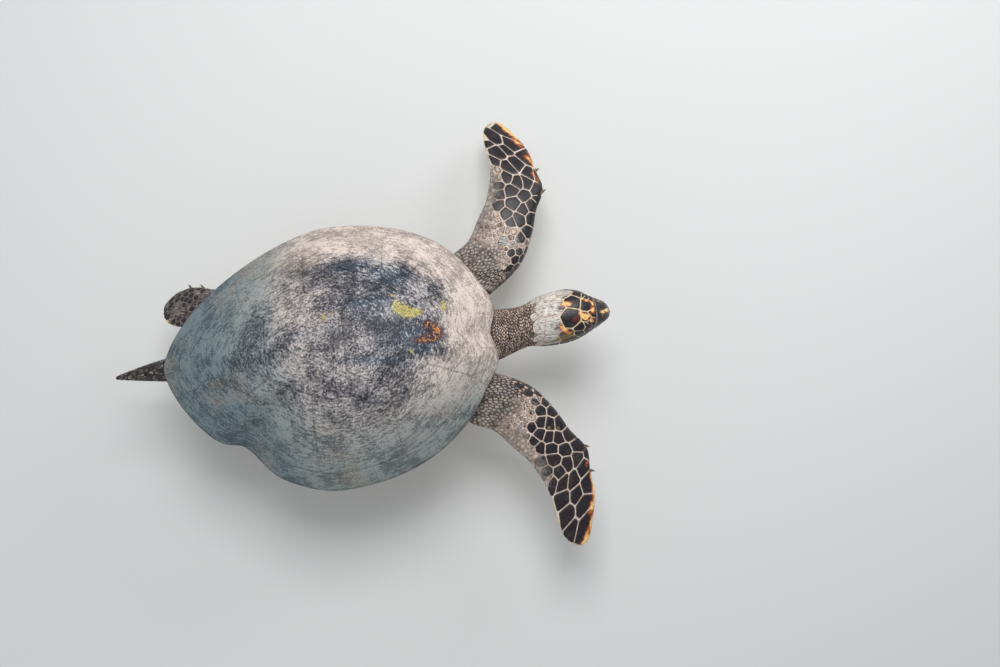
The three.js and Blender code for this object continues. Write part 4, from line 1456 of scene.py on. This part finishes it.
def dusty_zone(s, share):
    """Where a limb is dull: at its root, and in a band along the trailing edge as far as the blade."""
    root = smooth(66, 28, s + 66 * smooth(0.45, 0.15, share))
    band = smooth(0.66, 0.9, share + 0.04 * np.sin(s / 13)) * smooth(290, 190, s)
    return np.clip(0.9 * root + 0.8 * band, 0, 1)


def arm_marks(sheet, flames, dots):
    def amber(s, p):
        edge = 0.62 * bell(p - 3, 5) * smooth(230, 270, s) * (0.8 + 0.2 * np.sin(s / 7.0))
        return patches(s, p, flames) + edge + smooth(382, 398, s) * smooth(60, 30, np.abs(p)) * 0.8

    return {"amber": amber, "maroon": lambda s, p: 0.5 * patches(s, p - 12, flames),
            "olive": lambda s, p: patches(s, p, dots),
            # The pale streaky mark near the root and over its top face is part painted sheen, part silt.
            "sheen_and_silt": lambda s, p: (0.38 * bell(s - 70, 45) * bell(p - 76, 28)
                                   + 0.22 * smooth(150, 60, s) * (p > 0)),
            "dust": lambda s, p: dusty_zone(s, sheet.share(s, p)), "under": lambda s, p: smooth(0, -14, p)}


for name, chosen, flames, dots in (("front_flipper_left", LEFT_PLATES, LEFT_FLAMES, LEFT_SPOTS),
                                   ("front_flipper_right", RIGHT_PLATES, RIGHT_FLAMES, RIGHT_SPOTS)):
    sheet = SHEETS[name]
    plates = on_both_faces(chosen, sheet)

    def arm_spacing(s, p):
        """How far apart the small scales stand: fine at the shoulder, coarser along the trailing edge."""
        half = sheet.half(s, p)
        spacing = 6.2 + 3.6 * smooth(10, 110, s) + 2.5 * smooth(200, 300, s)
        blade = smooth(60, 110, s) * smooth(half - 16, half - 24, np.abs(p) + 0.12 * np.maximum(0, 230 - s))
        free = clearance(s, p, plates) > 5 + 12 * blade + 14 * smooth(225, 260, s)
        return np.where(free & (np.abs(p) < half - 2.5), spacing, -1)

    coat(name, sheet, ((-46, 396), (-190, 190)), arm_spacing,
         lambda s, p: (np.abs(p) < sheet.half(s, p) - 0.5) & (s < 397.5), 26000, plates,
         arm_marks(sheet, flames, dots),
         {"name": "_scales", "size": 3.0, "height": 1.25, "gap": 1.0, "corners": 12, "widest": 12,
          "form": PEBBLED},
         {"name": "_plates", "height": np.clip(1.45 - 0.0012 * np.maximum(plates[:, 0] - 200, 0), 1.0, 1.5),
          "gap": 1.7, "corners": 56, "widest": 48, "form": ROUNDED})

# %% The hind flippers' and the tail's scales
def tail_under(s, p):
    return smooth(0.55, 0.8, SHEETS["tail"].share(s, p))


def flipper_under(s, p):
    return smooth(0, -10, p)


# The rear flippers and the tail get an even share of the pale streaky mix, part painted sheen and part silt.
plain_marks = {"amber": none, "maroon": none, "olive": none, "sheen_and_silt": lambda s, p: 0.35 + none(s, p),
               "dust": lambda s, p: 0.25 + none(s, p)}
SMALL_ONES = (("rear_flipper_left", -10, 196, 11.0, 16), ("rear_flipper_right", -10, 196, 11.0, 16),
              ("tail", 6, 236, 8.0, 12))
for name, start, stop, spacing, corners in SMALL_ONES:
    sheet = SHEETS[name]
    coat(name, sheet, ((start, stop), (-150, 150)),
         lambda s, p: np.where(np.abs(p) < sheet.half(s, p) - 2,
                               spacing * (0.75 + 0.25 * smooth(-20, 110, s)), -1),
         lambda s, p: (np.abs(p) < sheet.half(s, p) - 0.4) & (s < stop + 2), 9000, np.empty((0, 3)),
         plain_marks | {"under": tail_under if name == "tail" else flipper_under},
         {"name": "_scales", "size": 3.0, "height": 1.25, "gap": 1.4, "corners": corners, "widest": 14,
          "form": ((1.0, 0.9, 0.6), (0.7, 0.97))})

# %% [markdown]
# ## Finishes of scales and skin
# Hawksbill plates are plum black, and the skin between them is pale, so the animal looks netted. Amber and
# cream break through on the face and along the leading edges. All plates share one finish that reads
# masks from the mesh, and the skin between them shares its silt and grain.

# %% Finishes of scales and skin
def broken(name, scale=120.0, low=0.42, high=0.62, strength=0.5):
    """A mask from the mesh with a ragged edge: noise is added to it before it is cut."""
    return (mark_of(name) + (noise(place(), scale, 5.0, 0.65) - 0.5) * (strength * 2)).ranged(low, high)


def scale_colour():
    spot, tone = place(), mark_of("tone")
    fine = noise(spot, 420.0, 5.0, 0.7)
    base = fine.tones(0.35, 0.7, (14, 11, 18), (40, 32, 41))
    base = mixed(tone.ranged(0.5, 1.0, 0.0, 0.35), base, (46, 34, 34))
    base = mixed(noise(spot, 300.0, 6.0, 0.75).ranged(0.56, 0.66, 0.0, 0.45), base, (122, 100, 86))
    base = mixed((mark_of("edge") + fine * 0.10).ranged(0.93, 1.05, 0.0, 0.7), base, (150, 138, 118))
    streaks = noise(drawn_out(spot, 0.35, 1.6, 1.0), 260.0, 6.0, 0.72)
    # Pale streaky blue-grey over the back of the head and round the limbs: part painted sheen, part silt.
    pale = streaks.tones(0.34, 0.55, (88, 90, 98), (226, 218, 208))
    base = (mark_of("sheen_and_silt") + streaks * 1.1 + tone * 0.25).tones(1.0, 1.5, base, pale)
    base = mixed(broken("olive", 150.0, 0.35, 0.85, 0.8), base,
                 fine.tones(0.4, 0.62, (70, 60, 34), (168, 146, 84)))
    base = mixed(broken("maroon", 150.0, 0.35, 0.85, 0.8), base,
                 fine.tones(0.4, 0.6, (40, 18, 26), (126, 44, 40)))
    flame = mixed(broken("amber", 130.0, 0.55, 1.0, 0.8), (188, 92, 34), (246, 206, 128))
    base = mixed(broken("amber", 170.0, 0.30, 0.66, 0.7), base, flame)
    base = mixed(broken("dust", 130.0, 0.3, 0.9, 0.7), base,
                 fine.tones(0.32, 0.68, (66, 62, 60), (132, 128, 120)))
    below = mark_of("edge").tones(0.3, 0.9, (120, 104, 80), (214, 200, 158))
    return silted(mixed(mark_of("under"), base, below), (126, 126, 118), 0.05, 500.0)


def pebble_colour():
    spot, tone = place(), mark_of("tone")
    dark, pale = mixed(tone, (88, 70, 64), (148, 124, 112)), mixed(tone, (166, 144, 132), (244, 222, 206))
    lit = mark_of("edge").ranged(1.0, 0.2) * noise(spot, 55.0, 5.0, 0.65).ranged(0.40, 0.60, 0.12, 1.0)
    folds = noise(drawn_out(spot, 1.6, 0.28, 0.5), 150.0, 5.0, 0.65)
    # Fine streaks drawn as folds: near black in their troughs as painted shade, and pale on their crests as a
    # painted highlight.
    base = mixed(folds.ranged(0.46, 0.36, 0.0, 0.85), mixed(lit, dark, pale), (38, 28, 30))
    base = mixed(folds.ranged(0.52, 0.62, 0.0, 0.75), base, (222, 200, 182))
    base = mixed(broken("olive") * 0.7, base, (118, 112, 64))
    blue = noise(spot, 24.0, 4.0, 0.65).ranged(0.50, 0.70, 0.0, 0.5)
    base = mixed(blue, base, mixed(tone, (66, 74, 92), (166, 172, 184)))
    dusty = noise(spot, 70.0, 6.0, 0.7).tones(0.36, 0.64, (70, 66, 64), (168, 162, 154))
    base = mixed(mark_of("dust") * 0.6, base, dusty)
    base = mixed(mark_of("under"), base, mixed(tone, (170, 156, 122), (216, 204, 170)))
    return silted(base, (160, 156, 146), 0.12, 600.0)


def skin_colour():
    mottle = noise(place(), 90.0, 6.0, 0.65)
    base = mottle.tones(0.38, 0.62, (28, 25, 26), (62, 57, 54))
    dusty = noise(place(), 70.0, 6.0, 0.7).tones(0.36, 0.64, (56, 52, 50), (128, 122, 116))
    base = mixed(mark_of("dust") * 0.75, base, dusty)
    for name, low, high, first, second in (("seam", 0.35, 0.65, (184, 162, 150), (238, 220, 208)),
                                           ("gold", 0.4, 0.6, (224, 186, 128), (250, 236, 206)),
                                           ("lid", 0.4, 0.6, (38, 34, 38), (84, 76, 70))):
        base = mixed(mark_of(name), base, mottle.tones(low, high, first, second))
    return silted(mixed(mark_of("under"), base, (204, 190, 156)), (140, 138, 130), 0.05, 500.0)


def skin_height():
    """A grain, and under it fine leathery cells."""
    cell = node("TexVoronoi", {"Vector": place(), "Scale": 230.0}, "Distance")
    return fine_grain(1500.0)() * 0.5 + cell.ranged(0.1, 0.6, 0.5, 0.0)


plate_finish = finish("plates", scale_colour, lambda: mark_of("dust").ranged(0.0, 0.8, 0.38, 0.72),
                      fine_grain(900.0), 0.00025, specular_ior_level=0.45)
pebble_finish = finish("pebbles", pebble_colour, 0.72, fine_grain(1200.0), 0.0003, specular_ior_level=0.3)
skin_finish = finish("skin", skin_colour, 0.66, skin_height, 0.0006, specular_ior_level=0.3)
for name, piece in pieces.items():
    plated = name.endswith(("shields", "plates")) or name.startswith(("rear", "tail"))
    dressed(piece, "skin", plate_finish if plated else pebble_finish)


def limb_zones(way, spots, front):
    """For each point how near it lies to a limb, how far out on it, and its share of the way over the
    section."""
    s = np.linspace(-20, 396 if front else 198, 60)
    middle = way(s, np.full(60, 45.0 if front else 5.0), np.zeros(60))
    far = np.linalg.norm(spots[:, None] - middle[None], axis=-1)
    reached = s[far.argmin(1)]
    lead, trail = through(ARM, 1)(reached), through(ARM, 2)(reached)
    start, further = (way(reached, np.full(len(reached), q), np.zeros(len(reached))) for q in (0.0, 1.0))
    q = ((spots - start) * (further - start)).sum(-1)
    return far.min(1), reached, (lead - q) / (lead - trail)


def skin_marks():
    """For the skin between the scales: pale seams on the blades, cream ones on the face, dark lids, a pale
    belly."""
    spots = unbanked(read(skin.data.vertices, "co").astype(float))
    x, y, _ = spots.T
    seam, dust = 0.85 * smooth(462, 484, x) * (np.abs(y) < 130), np.zeros(len(spots))
    gold = smooth(512, 535, x) * (np.abs(y - 24) < 110)
    for name, way in PLACES.items():
        front = "front" in name
        near, reached, share = limb_zones(way, spots, front)
        on_limb = (near < 85) & (np.abs(y) > 150 if front else x < -150)
        here = dusty_zone(reached, np.abs(share))
        pale = smooth(26, 70, reached + 60 * smooth(0.5, 0.2, share)) * (1 - 0.8 * here)
        seam = np.where(on_limb, pale if front else 0.2, seam)
        dust = np.where(on_limb & front, here, dust)
    lid = np.maximum(*(smooth(4.4, 3.0, from_lids(spots, side)) for side in (1, -1)))
    under = smooth(-0.25, -0.75, read(skin.data.vertices, "normal")[:, 2])
    return {"seam": seam, "gold": gold, "lid": lid, "under": under * (1 - lid), "dust": dust}


mark(skin.data, skin_marks())
dressed(skin, "skin", skin_finish, "head", "neck", "trunk", "tail", *POSES)

# %% [markdown]
# ## Beak
# Horn covers the snout and the jaw. The upper beak is a cap rolled from the head's own rings, from its
# slanting edge to the hooked tip, and given a thickness inwards. The lower is a closed boat of horn under
# it. Drawing the upper one from the head's sheet keeps the face's line running into the bill unbroken.

# %% Beak
ACROSS = np.linspace(-1, 1, 121)  # the upper beak's columns, from one corner of the mouth to the other
SNOUT = {"middle": 24, "tip": 648.6, "hook": 628, "closing": 630, "rounding": 641.6, "wall": 2.4}
HOOKED, WEDGED = 2.6, 0.62  # how far the tip hooks down, and the share that the edge is narrowed by
NOSTRIL = {"place": 634, "aside": 4.6, "slimmer": 1.3, "size": 1.7, "depth": 2.4, "lowest": -16}
LIP, FURROW = 0.7, 0.3  # how far they stand out and lie in
PATCHES = ((637, 0, 7, 4.5, 1), (627, -5, 7, 4.5, 1), (644, 3, 5, 4, 0.8))


def mouth_turn(x, side):
    """The angle from the crown line at which the head's ring reaches the mouth, from a fine table of
    angles."""
    fine = np.linspace(0.6, np.pi, 300)
    ring = head(x[..., None], side * fine)
    under = ring[..., 2] < mouth_height(ring[..., 0]) + 0.25
    return fine[np.where(under.any(-1), under.argmax(-1), 299)]


def upper_beak():
    """The outer grid: rows towards the tip, columns from one corner of the mouth over the snout to the
    other."""
    limits = lambda x: np.where(ACROSS > 0, mouth_turn(x, 1), mouth_turn(x, -1))
    start = HORN["top"] - 10 + 0 * ACROSS
    for _ in range(30):
        height = head(start, ACROSS * limits(start))[..., 2]
        start = np.clip(0.5 * start + 0.5 * (horn_start(height) + 0.25), 590, 640)
    t = 1 - (1 - np.linspace(0, 1, 72)) ** 2
    x = start + (SNOUT["tip"] - start) * t[:, None]
    limit = limits(x)
    return x, ACROSS * (limit + (np.pi - limit) * smooth(619, 645, x) ** 1.7)


def grid_normals(grid):
    """The normals of a grid of points, pointing away from the snout's middle line."""
    normal = np.cross(np.gradient(grid, axis=1), np.gradient(grid, axis=0))
    normal /= np.maximum(long(normal), 1e-9)
    outwards = grid - xyz(grid[..., 0], SNOUT["middle"], -20)
    return normal * np.sign((normal * outwards).sum(-1, keepdims=True).mean())


def narrowed(start):
    """One up to `start`, then the quarter of a circle that falls to nearly nought at the tip."""
    return np.sqrt(1 - 0.9996 * np.clip((beak_x - start) / (SNOUT["tip"] - start), 0, 1) ** 2)


beak_x, beak_turn = upper_beak()
outer = head(beak_x, beak_turn)
normal = grid_normals(outer)
row = np.linspace(0, 1, len(outer))[:, None]
# The edge stands a little proud, the nostrils are sunk, and a lip runs along the mouth with a furrow over it.
aside = [outer[..., 1] - SNOUT["middle"] - side * NOSTRIL["aside"] for side in (1, -1)]
from_nostril = [np.hypot(outer[..., 0] - NOSTRIL["place"], far * NOSTRIL["slimmer"]) for far in aside]
nostril = sum(bell(far, NOSTRIL["size"]) for far in from_nostril) * (outer[..., 2] > NOSTRIL["lowest"])
lip = smooth(0.92, 0.99, np.abs(ACROSS)) * smooth(1.0, 0.85, row)
lift = 0.35 * smooth(0.03, 0.0, row) - 0.25 - NOSTRIL["depth"] * nostril + LIP * lip
outer = outer + normal * (lift - FURROW * smooth(0.78, 0.88, np.abs(ACROSS)) * (1 - lip))[..., None]
# The tip hooks down, and the beak is wedge-shaped from above the mouth to its edge. Both ways close at the
# tip.
x, y, z = np.moveaxis(outer, -1, 0)
z = z - HOOKED * smooth(SNOUT["hook"], 649, x) ** 2
wedge = 1 - WEDGED * smooth(-10, -36, z) * smooth(618, 642, x)
y = (y - SNOUT["middle"]) * wedge * narrowed(SNOUT["rounding"])
flat = narrowed(SNOUT["closing"])
level = -34.5 + 9 * flat
outer = xyz(x, SNOUT["middle"] + y, level + (z - level) * flat)
inner = outer - normal * SNOUT["wall"] * flat[..., None] - (1 - flat[..., None]) * [1.8, 0, 0]


def shell_faces(rows, columns):
    """Faces of a sheet with a thickness: outer grid, inner grid, and a strip along its open edges."""
    index = np.arange(rows * columns).reshape(rows, columns)
    a = index[:-1, :-1].ravel()
    quad = xyz(a, a + 1, a + 1 + columns, a + columns)
    run = np.concatenate([index[0], index[1:, -1], index[-1, -2::-1], index[-2:0:-1, 0]])
    following = np.roll(run, -1)
    strip = xyz(following, run, run + index.size, following + index.size)
    return [np.concatenate([quad, quad[:, ::-1] + index.size, strip])]


points = np.concatenate([outer.reshape(-1, 3), inner.reshape(-1, 3)])
patch = patches(points[:, 0], points[:, 1] - SNOUT["middle"], PATCHES)
# The nostrils' pits are painted near black: painted shade in their openings.
marks = {"along": np.tile(np.repeat(np.linspace(0, 1, len(outer)), len(ACROSS)), 2),
         "patch": patch * smooth(-21, -15, points[:, 2]),
         "nostril_shade": np.tile(nostril.ravel(), 2)}
upper = solid("beak_upper", banked(points), shell_faces(*beak_x.shape), marks)


def lower_beak(places=44, around=32):
    """The jaw's horn: rings of the head below the mouth, closed across the top a little under it."""
    x = MOUTH["cheek"] + 0.6 + (MOUTH["chin"] - MOUTH["cheek"] - 1.2) * np.linspace(0, 1, places) ** 0.9
    left, right = mouth_turn(x, 1), mouth_turn(x, -1)
    share = np.linspace(0, 1, around)
    turn = left[:, None] + (2 * np.pi - right - left)[:, None] * share
    row = np.linspace(0, 1, places)[:, None]
    under = head(x[:, None] + 9 * (1 - row) ** 2 * np.sin(np.pi * share) ** 0.8, turn)
    under[..., 2] = np.minimum(under[..., 2], mouth_height(x)[:, None] - 0.5)
    across = np.linspace(-1, 1, around)
    top = under[:, -1:] + (under[:, :1] - under[:, -1:]) * ((across + 1) / 2)[:, None]
    top[..., 2] -= 1.6 * (1 - across**2)
    rings = np.concatenate([under, top[:, 1:-1]], axis=1)
    centre = rings.mean(1, keepdims=True)
    tucked = 0.04 * smooth(0.2, 0.5, row) + 0.16 * smooth(0.5, 1.0, row) + 0.07 * smooth(0.1, 0.0, row)
    return centre + (rings - centre) * (1 - tucked)[..., None]


jaw_points, jaw_faces = lofted(lower_beak())
jaw_x = jaw_points[:, 0]
lower = solid("beak_lower", banked(jaw_points), jaw_faces,
              {"along": smooth(MOUTH["cheek"], MOUTH["chin"], jaw_x), "patch": 0 * jaw_x, "nostril_shade": 0 * jaw_x})


def horn_colour():
    spot = place()
    lines = noise(drawn_out(spot, 0.25, 1.0, 1.0), 420.0, 5.0, 0.65)
    dark = lines.tones(0.38, 0.64, (22, 24, 40), (72, 62, 62))
    amber = lines.tones(0.4, 0.62, (120, 84, 44), (196, 160, 92))
    base = noise(spot, 75.0, 4.0).tones(0.50, 0.68, dark, amber)
    edge = lines.tones(0.4, 0.6, (96, 104, 116), (176, 180, 176))
    base = mixed(mark_of("along").ranged(0.035, 0.01, 0.0, 0.7), base, edge)
    cream = mixed(broken("patch", 300.0, 0.5, 1.0, 0.8), (196, 132, 62), (240, 218, 156))
    base = mixed(broken("patch", 200.0, 0.32, 0.72, 1.0), base, cream)
    # Near black in the nostrils: painted shade.
    return mark_of("nostril_shade").tones(0.1, 0.5, base, (10, 9, 12))


horn_finish = finish("horn", horn_colour, 0.36, fine_grain(700.0), 0.0001, specular_ior_level=0.5)
dressed(upper, "beak", horn_finish, "beak_upper")
dressed(lower, "beak", horn_finish, "beak_lower")

# %% [markdown]
# ## Eyes
# Each eye is a ball with a bulging cornea, sunk between the lids. The iris is dark brown with lighter
# flecks round a wide pupil. The colour follows the angle from the axis, kept as a mark on the mesh.

# %% Eyes
CORNEA = {"sunk": 0.35, "swell": 0.5, "width": 0.34}  # millimetres, and the swelling's width as an angle
PUPIL, IRIS = (0.27, 0.31), (0.44, 0.58)  # the angles from the axis over which each ends


def eye_ball(side, rows=48, around=64):
    """Rings from the front of the cornea to the back: a sphere that swells by half a millimetre round its
    axis."""
    out, forwards, upwards = eye_axes(side)
    lean = np.concatenate([np.linspace(0.02, 0.8, rows * 2 // 3), np.linspace(0.86, np.pi - 0.05, rows // 3)])
    reach = EYE["radius"] - CORNEA["sunk"] + CORNEA["swell"] * bell(lean, CORNEA["width"])
    turn = turns(around)
    sideways = np.cos(turn)[:, None] * forwards + np.sin(turn)[:, None] * upwards
    rings = (np.cos(lean) * reach)[:, None, None] * out + (np.sin(lean) * reach)[:, None, None] * sideways
    lean_of = np.concatenate([np.repeat(lean, around), [0.0, np.pi]])
    angle_of = np.concatenate([np.tile(turn, len(lean)), [0.0, 0.0]])
    marks = {"lean": lean_of, "spoke": xyz(np.cos(angle_of), np.sin(angle_of), 0.3 * lean_of)}
    return *lofted(eye_middle(side) + rings), marks


def eye_colour():
    lean = mark_of("lean")
    iris = noise(mark_of("spoke", "Vector"), 7.0, 5.0, 0.7).tones(0.4, 0.62, (26, 16, 11), (78, 50, 26))
    return lean.tones(*PUPIL, (3, 3, 4), lean.tones(*IRIS, iris, (14, 10, 9)))


eye_finish = finish("eye", eye_colour, 0.06, specular_ior_level=0.6, coat_weight=1.0, coat_roughness=0.03)
for side, hand in ((1, "left"), (-1, "right")):
    points, faces, marks = eye_ball(side)
    dressed(solid(f"eye_{hand}", banked(points), faces, marks), "eye", eye_finish, f"eye_{hand}")

# %% [markdown]
# ## Claws
# Two hooked claws stand out of each limb's leading edge. They are tapering rings along a bent line.

# %% Claws
CLAWS = {"length": 10.5, "root": 6.8, "sunk": 7, "hook": 10.5, "front": (208, 262), "rear": (112, 142)}


def claw(way, at, lead, rows=26, around=28):
    """Rings along the hook: the middle bends on with the square of the way out, and the size falls with its
    rest."""
    t = np.concatenate([np.linspace(0, 0.9, rows - 8),
                        0.9 + 0.1 * np.sin(np.linspace(0, np.pi / 2, 9)[1:])])[:, None]
    turn = turns(around)
    width = CLAWS["root"] * (1 - t) ** 0.55 * (1 - 0.25 * t) + 0.35 * np.sqrt(np.maximum(1 - t, 0))
    s = at + CLAWS["hook"] * t**2 + width * np.cos(turn)
    q = lead - CLAWS["sunk"] + (CLAWS["sunk"] + CLAWS["length"] - 2) * t + 0 * turn
    return lofted(way(s, q, 0.72 * width * np.sin(turn)))


def claw_colour():
    return noise(place(), 300.0, 4.0).tones(0.4, 0.65, (58, 46, 40), (166, 142, 104))


claw_finish = finish("claw_horn", claw_colour, 0.38, fine_grain(900.0), 0.0001)
for name, way in PLACES.items():
    stations, places = (ARM, CLAWS["front"]) if "front" in name else (LEG, CLAWS["rear"])
    for number, at in enumerate(places, 1):
        points, faces = claw(way, at, float(through(stations, 1)(at)))
        dressed(solid(f"{name}_claw_{number}", banked(points), faces), "claw", claw_finish,
                f"{name}_claw_{number}")

# %% [markdown]
# ## Plastron
# The underside is a thick plate with two lobes and a bridge to the rim on each side, and its scutes are as
# regular as the shell's: six pairs, a small one between the first, and a row along each bridge. It is cream
# with brown blotches, and is seen only from low down.

# %% Plastron
PLASTRON_MIDDLE = (PLASTRON["front"] + PLASTRON["rear"]) / 2
PLASTRON_HALF = (PLASTRON["front"] - PLASTRON["rear"]) / 2
SCUTE = 2.8  # how thick its scutes are
HOLLOW, UPTURN = 5, 4
DRAWN_IN = {"curve": 0.965, "width": 0.962, "ends": 0.955}  # the scutes' outline as shares of the bone's


def bridge(x):
    """How far the bridges widen the plastron at x: nought on the lobes."""
    share = smooth(*BRIDGE["rear"], x) - smooth(*BRIDGE["front"], x)
    return (PLASTRON["bridge"] - PLASTRON["lobe"]) * share


def plastron_height(x, y):
    """The belly's height, hollowed a little in the middle as a male's is, and turned up at the edge. The
    share is about how far out a spot lies, of the half width there and of the length near the ends."""
    along, across = (x - PLASTRON_MIDDLE) / PLASTRON_HALF, y / (PLASTRON["lobe"] + bridge(x))
    share = np.clip((np.abs(along) ** 2.5 + np.abs(across) ** 2.5) ** 0.4, 0, 1)
    return belly(y) + HOLLOW * (1 - share**2) + UPTURN * share**4


def plastron_rings(around=200):
    """The core's rings: out under the scutes, round the edge, and in again over the thickness."""
    c, s = np.cos(turns(around)), np.sin(turns(around))
    x = PLASTRON_MIDDLE + PLASTRON_HALF * c
    half = PLASTRON["lobe"] * np.abs(s) ** 0.8 + bridge(x)
    under = [(share, 3.0) for share in np.linspace(0.03, 0.94, 34)]
    edge = [(0.965, 3.2), (0.984, 4.2), (0.99, 6.5), (0.984, 9.6), (0.96, 11.6), (0.9, 12.6), (0.8, 13),
            (0.6, 13), (0.4, 13)]
    plans = ((x * share, np.sign(s) * half * share, lift) for share, lift in under + edge)
    return np.stack([xyz(spot_x, spot_y, plastron_height(spot_x, spot_y) + lift)
                     for spot_x, spot_y, lift in plans])


def on_plastron(x, y):
    """True within the outline, drawn in a little: two rounded lobes and the bridge between them."""
    wide = x / DRAWN_IN["curve"]
    c = np.clip((wide - PLASTRON_MIDDLE) / PLASTRON_HALF, -1, 1)
    half = PLASTRON["lobe"] * (1 - c * c) ** 0.4 + bridge(wide)
    front, rear = DRAWN_IN["ends"] * PLASTRON["front"], DRAWN_IN["ends"] * PLASTRON["rear"]
    return (np.abs(y) < half * DRAWN_IN["width"]) & (x < front) & (x > rear)


points, faces = lofted(plastron_rings())
plastron_core = solid("plastron_core", banked(points), faces, bone_marks(points))
SCUTES = ((268, 0), (246, 34), (186, 52), (104, 70), (4, 78), (-102, 66), (-214, 42), (126, 182), (46, 192),
          (-36, 192), (-116, 178))
scutes = np.array(SCUTES + tuple((x, -y) for x, y in SCUTES if y), float)
off_middle = np.abs(scutes[:, 1])
scute_weight = np.where(off_middle > 150, -2600.0, 0.0) + np.where(off_middle < 1, -700.0, 0)
scute_reach = fenced(scutes, np.minimum(cells(scutes, 1.6, 96, sharp=36.0, weight=scute_weight), 200),
                     on_plastron)
plastron_scutes = scales("plastron_scutes", plan_on(plastron_height, up=-1.0), plan_unwrap, scutes,
                         scute_reach, SCUTE, PLATE_FORM, None, -SCUTE)


def plastron_colour():
    spot, edge = place(), mark_of("edge")
    base = noise(spot, 70.0, 6.0, 0.65).tones(0.35, 0.65, (206, 184, 124), (230, 216, 172))
    blotch = noise(spot, 17.0, 4.0, 0.6) + edge * -0.10
    base = mixed(blotch.ranged(0.50, 0.60, 0.0, 0.7), base, (86, 58, 40))
    base = mixed(edge.ranged(0.95, 1.0, 0.0, 0.6), base, (120, 96, 66))
    return silted(base, (150, 148, 132), 0.1, 300.0)


plastron_finish = finish("plastron", plastron_colour, 0.5, fine_grain(500.0), 0.0002)
dressed(plastron_core, "plastron", plastron_finish, "plastron")
dressed(plastron_scutes, "plastron", plastron_finish)

# %% [markdown]
# ## Stand
# Two steel rods carry the animal over a flat board with rounded corners and a small chamfer. Each rod has a
# thin collar at the board and at the plastron. They are plain lathe work, so they are rings again.

# %% Stand
STAND = {"length": 460, "width": 330, "thickness": 22, "corner": 40, "rod": 11, "reach": 125}


def board():
    """The rounded outline, drawn in by the chamfer at bottom and top."""
    turn = np.linspace(0, 2 * np.pi, 96, endpoint=False) + np.pi / 96
    way, top = xyz(np.cos(turn), np.sin(turn)), STAND["thickness"]
    corner = np.sign(way) * [STAND["length"] / 2 - STAND["corner"], STAND["width"] / 2 - STAND["corner"]]
    levels = ((0, 2.0), (0.6, 0.8), (2.0, 0), (top - 3, 0), (top - 1.6, 0.5), (top - 0.5, 1.6), (top, 3.0),
              (top, 12.0))
    rings = [xyz(*(corner + way * (STAND["corner"] - inset)).T, z) for z, inset in levels]
    return lofted(np.stack(rings) * MM)


def plastron_under(x, y):
    """The height in the frame of the plastron's underside over a spot of the floor plan: the banked plane is
    met by a few corrections."""
    turtle_y = y
    for _ in range(6):
        spot = banked(xyz(x, turtle_y, plastron_height(x, turtle_y))) / MM
        turtle_y = turtle_y + (y - spot[..., 1])
    return spot[..., 2]


def rod(x, around=48):
    """A turned rod with a collar at each end, its top leaning with the banked plastron."""
    turn, rings = turns(around), []
    foot = ((0.2, 10.8), (0.2, 15.2), (0.7, 16.0), (5.2, 16.0), (6.2, 15.0), (6.6, 11.4), (7.6, STAND["rod"]))
    head_end = ((9.0, STAND["rod"]), (8.0, STAND["rod"]), (7.0, 11.4), (6.6, 14.6), (6.0, 15.4), (1.6, 15.6),
                (0.9, 15.0), (0.9, 10))
    for profile, base, up in ((foot, lambda *plan: STAND["thickness"], 1), (head_end, plastron_under, -1)):
        for z, radius in profile:
            plan = x + radius * np.cos(turn), radius * np.sin(turn)
            rings.append(xyz(*plan, base(*plan) + up * z))
    return lofted(np.stack(rings) * MM)


def wood_colour():
    rings = noise(drawn_out(place(), 1.4, 16.0, 16.0), 5.5, 6.0, 0.6, 0.4)
    fibre = noise(drawn_out(place(), 6.0, 160.0, 160.0), 6.0, 5.0, 0.6)
    base = rings.tones(0.35, 0.66, (52, 32, 22), (104, 68, 44))
    return mixed(fibre.ranged(0.42, 0.62, 0.0, 0.35), base, (36, 22, 16))


def brushed():
    return noise(drawn_out(place(), 40.0, 40.0, 900.0), 6.0).ranged(0.3, 0.7, 0.24, 0.38)


wood = finish("oiled_walnut", wood_colour, 0.42)
steel = finish("brushed_steel", paint(168, 170, 172), brushed, metallic=1.0)
dressed(solid("stand_base", *board()), "stand_base", wood, "stand_base")
for name, x in (("stand_rod_front", STAND["reach"]), ("stand_rod_rear", -STAND["reach"])):
    dressed(solid(name, *rod(x)), "stand_rod", steel, name)

# %% [markdown]
# ## Floor and light
# The model stands on a wide pale floor under a large soft light high on its left. A weaker one from the front
# left shapes the head, a faint one lies low behind its right, and a pale world fills the shadows.

# %% Floor and light
floor = put("floor", bpy.data.meshes.new("floor"))
floor.data.from_pydata([(x, y, -0.0005) for x, y in ((-4, -4), (4, -4), (4, 4), (-4, 4))], [], [(0, 1, 2, 3)])
floor.data.materials.append(finish("pale_floor", paint(226, 227, 226), 0.85))


def soft_light(name, place, aim, size, power):
    """A square area light that faces its aim."""
    light = put(name, bpy.data.lights.new(name, "AREA"))
    light.data.shape, light.data.size, light.data.energy = "SQUARE", size, power
    light.location = place
    light.rotation_euler = (Vector(aim) - Vector(place)).to_track_quat("-Z", "Y").to_euler()


soft_light("overhead", (0.6, 1.7, 3.2), (0.2, 0, 0.2), 1.7, 78)
soft_light("side", (2.4, 1.8, 1.6), (0.3, 0, 0.2), 1.2, 16)
soft_light("low", (-1.8, -2.4, 1.2), (0, 0, 0.2), 1.5, 12)
world = bpy.data.worlds.new("studio")
bpy.context.scene.world = world
world.use_nodes = True
sky = world.node_tree.nodes["Background"].inputs
sky["Color"].default_value, sky["Strength"].default_value = (0.86, 0.88, 0.92, 1), 0.42
bpy.context.scene.view_settings.view_transform = "Standard"
print("stage is set")
